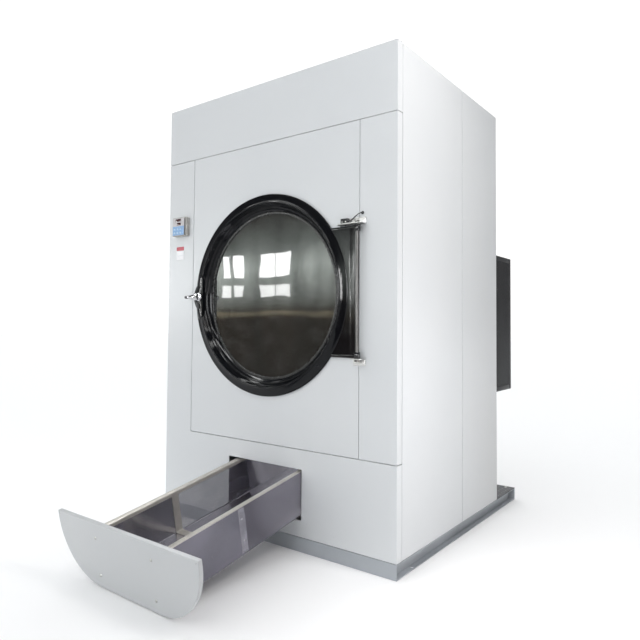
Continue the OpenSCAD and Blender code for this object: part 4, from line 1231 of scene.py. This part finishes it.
def drawer_front_fixings():
    """Small drilled holes at the front's upper corners, each a shallow black disc as painted
    shade for the hole, and its four screws.
    """
    lo, hi = local_box("drawer_front")
    y, hole = lo.y, 3.5 * MM
    bm = bmesh.new()
    for side in (-1, 1):
        profile = [(hole, y + 0.0005), (hole, y - 0.0001), (hole * 0.9, y - 0.0002),
                   (hole * 0.8, y + 0.0003), (hole * 0.1, y + 0.0004)]
        add_lathe(bm, profile, (side * (hi.x - 0.011), hi.z - 0.012), 20, closed=False)
    # painted shade: black discs stand in for the dark inside each hole
    drawer_piece("drawer_corner_hole_shade_discs", bm, "black_plastic", slot="cabinet_paint", sharp=40)
    bm = bmesh.new()
    for x in (-0.185, 0.185):
        for z in (0.204, 0.039):
            pan_screw(bm, x, y, z, 0.0068, 0.0028)
    drawer_piece("drawer_front_screws", bm, "screw_zinc", "drawer_screws", sharp=40)


# ---- the guard at the rear ----
GUARD_TUBE = 0.030


def guard_frame():
    """A frame of square tube with rounded corners."""
    lo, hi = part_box("guard_frame")
    w, soft = GUARD_TUBE, 3.5 * MM
    xs, ys, zs = (lo.x, hi.x - w), (lo.y, hi.y - w), (lo.z, hi.z - w)
    bm = bmesh.new()
    for i in (0, 1):
        for k in (0, 1):
            add_box(bm, (xs[i], ys[k], lo.z), (xs[i] + w, ys[k] + w, hi.z), soft, 3)
            add_box(bm, (lo.x + w, ys[i], zs[k]), (hi.x - w, ys[i] + w, zs[k] + w), soft, 3)
            add_box(bm, (xs[i], lo.y + w, zs[k]), (xs[i] + w, hi.y - w, zs[k] + w), soft, 3)
    piece("guard_tubes", bm, "guard_black", "guard_frame")


def add_net(bm, origin, u, v, normal):
    """Two layers of thin square wires across a panel spanned by u and v."""
    wire, pitch = 2.4 * MM, 8.5 * MM
    out = normal * wire * 0.9
    for d, e, shift in ((u, v, out), (v, u, -out)):
        side = e.normalized().cross(normal).normalized() * wire
        up = normal * wire
        count = int(d.length / pitch)
        for i in range(1, count):
            start = origin + d * (i / count) + shift
            add_grid(bm, [[end - side - up, end + side - up, end + side + up, end - side + up]
                          for end in (start, start + e)], cap=True)


def guard_mesh():
    """Woven wire in the frame's rear, sides, top and bottom."""
    lo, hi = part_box("guard_frame")
    w, inset = GUARD_TUBE, 4 * MM
    start, end = lo + Vector((w, w, w)), hi - Vector((w, w, w))
    across, deep, tall = (Vector((end.x - start.x, 0, 0)), Vector((0, end.y - start.y, 0)),
                          Vector((0, 0, end.z - start.z)))
    bm = bmesh.new()
    add_net(bm, Vector((start.x, hi.y - inset, start.z)), across, tall, Vector((0, 1, 0)))
    for x, n in ((lo.x + inset, -1), (hi.x - inset, 1)):
        add_net(bm, Vector((x, start.y, start.z)), deep, tall, Vector((n, 0, 0)))
    for z, n in ((lo.z + inset, -1), (hi.z - inset, 1)):
        add_net(bm, Vector((start.x, start.y, z)), across, deep, Vector((0, 0, n)))
    piece("guard_net", bm, "guard_black", "guard_mesh")


# ---- fixings on the casing ----

def screw_head(bm, centre, base, axis, r, proud):
    """A plain domed head with a hollow in the middle, facing up an axis."""
    profile = [(r, base), (r * 0.92, base + 0.5 * proud), (r * 0.6, base + proud),
               (r * 0.3, base + proud), (r * 0.26, base + 0.4 * proud)]
    add_lathe(bm, profile, centre, 16, axis, closed=False)


def casing_screws():
    """Screws that hold the rear panel and the deck."""
    lo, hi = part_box("rear_panel")
    margin, count = 18 * MM, 7
    bm = bmesh.new()
    for i in range(count):
        z = lo.z + margin + (hi.z - lo.z - 2 * margin) * i / (count - 1)
        for x in (lo.x + margin, hi.x - margin):
            screw_head(bm, (x, z), hi.y, "Y", 0.0055, 0.0018)
    lo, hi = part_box("rear_deck")
    margin, count = 0.05, 5
    for i in range(count):
        x = lo.x + margin + (hi.x - lo.x - 2 * margin) * i / (count - 1)
        screw_head(bm, (x, hi.y - 0.025), hi.z, "Z", 0.008, 0.0025)
    piece("casing_screws", bm, "screw_zinc", sharp=40)


# ---- the whole object ----

make_camera()
make_lights()
make_floor()
LOOKS = make_materials()
dress_cad()
for make in (door_ring, door_glass, glass_gasket, hinge_plate, hinge_rod, hinge_brackets,
             switch, switch_plunger, switch_wire, door_handle, control_box, control_face,
             keys, rating_plate, drawer_tray, drawer_straps, drawer_rails, drawer_brace,
             drawer_front, drawer_front_fixings, guard_frame, guard_mesh, casing_screws):
    make()
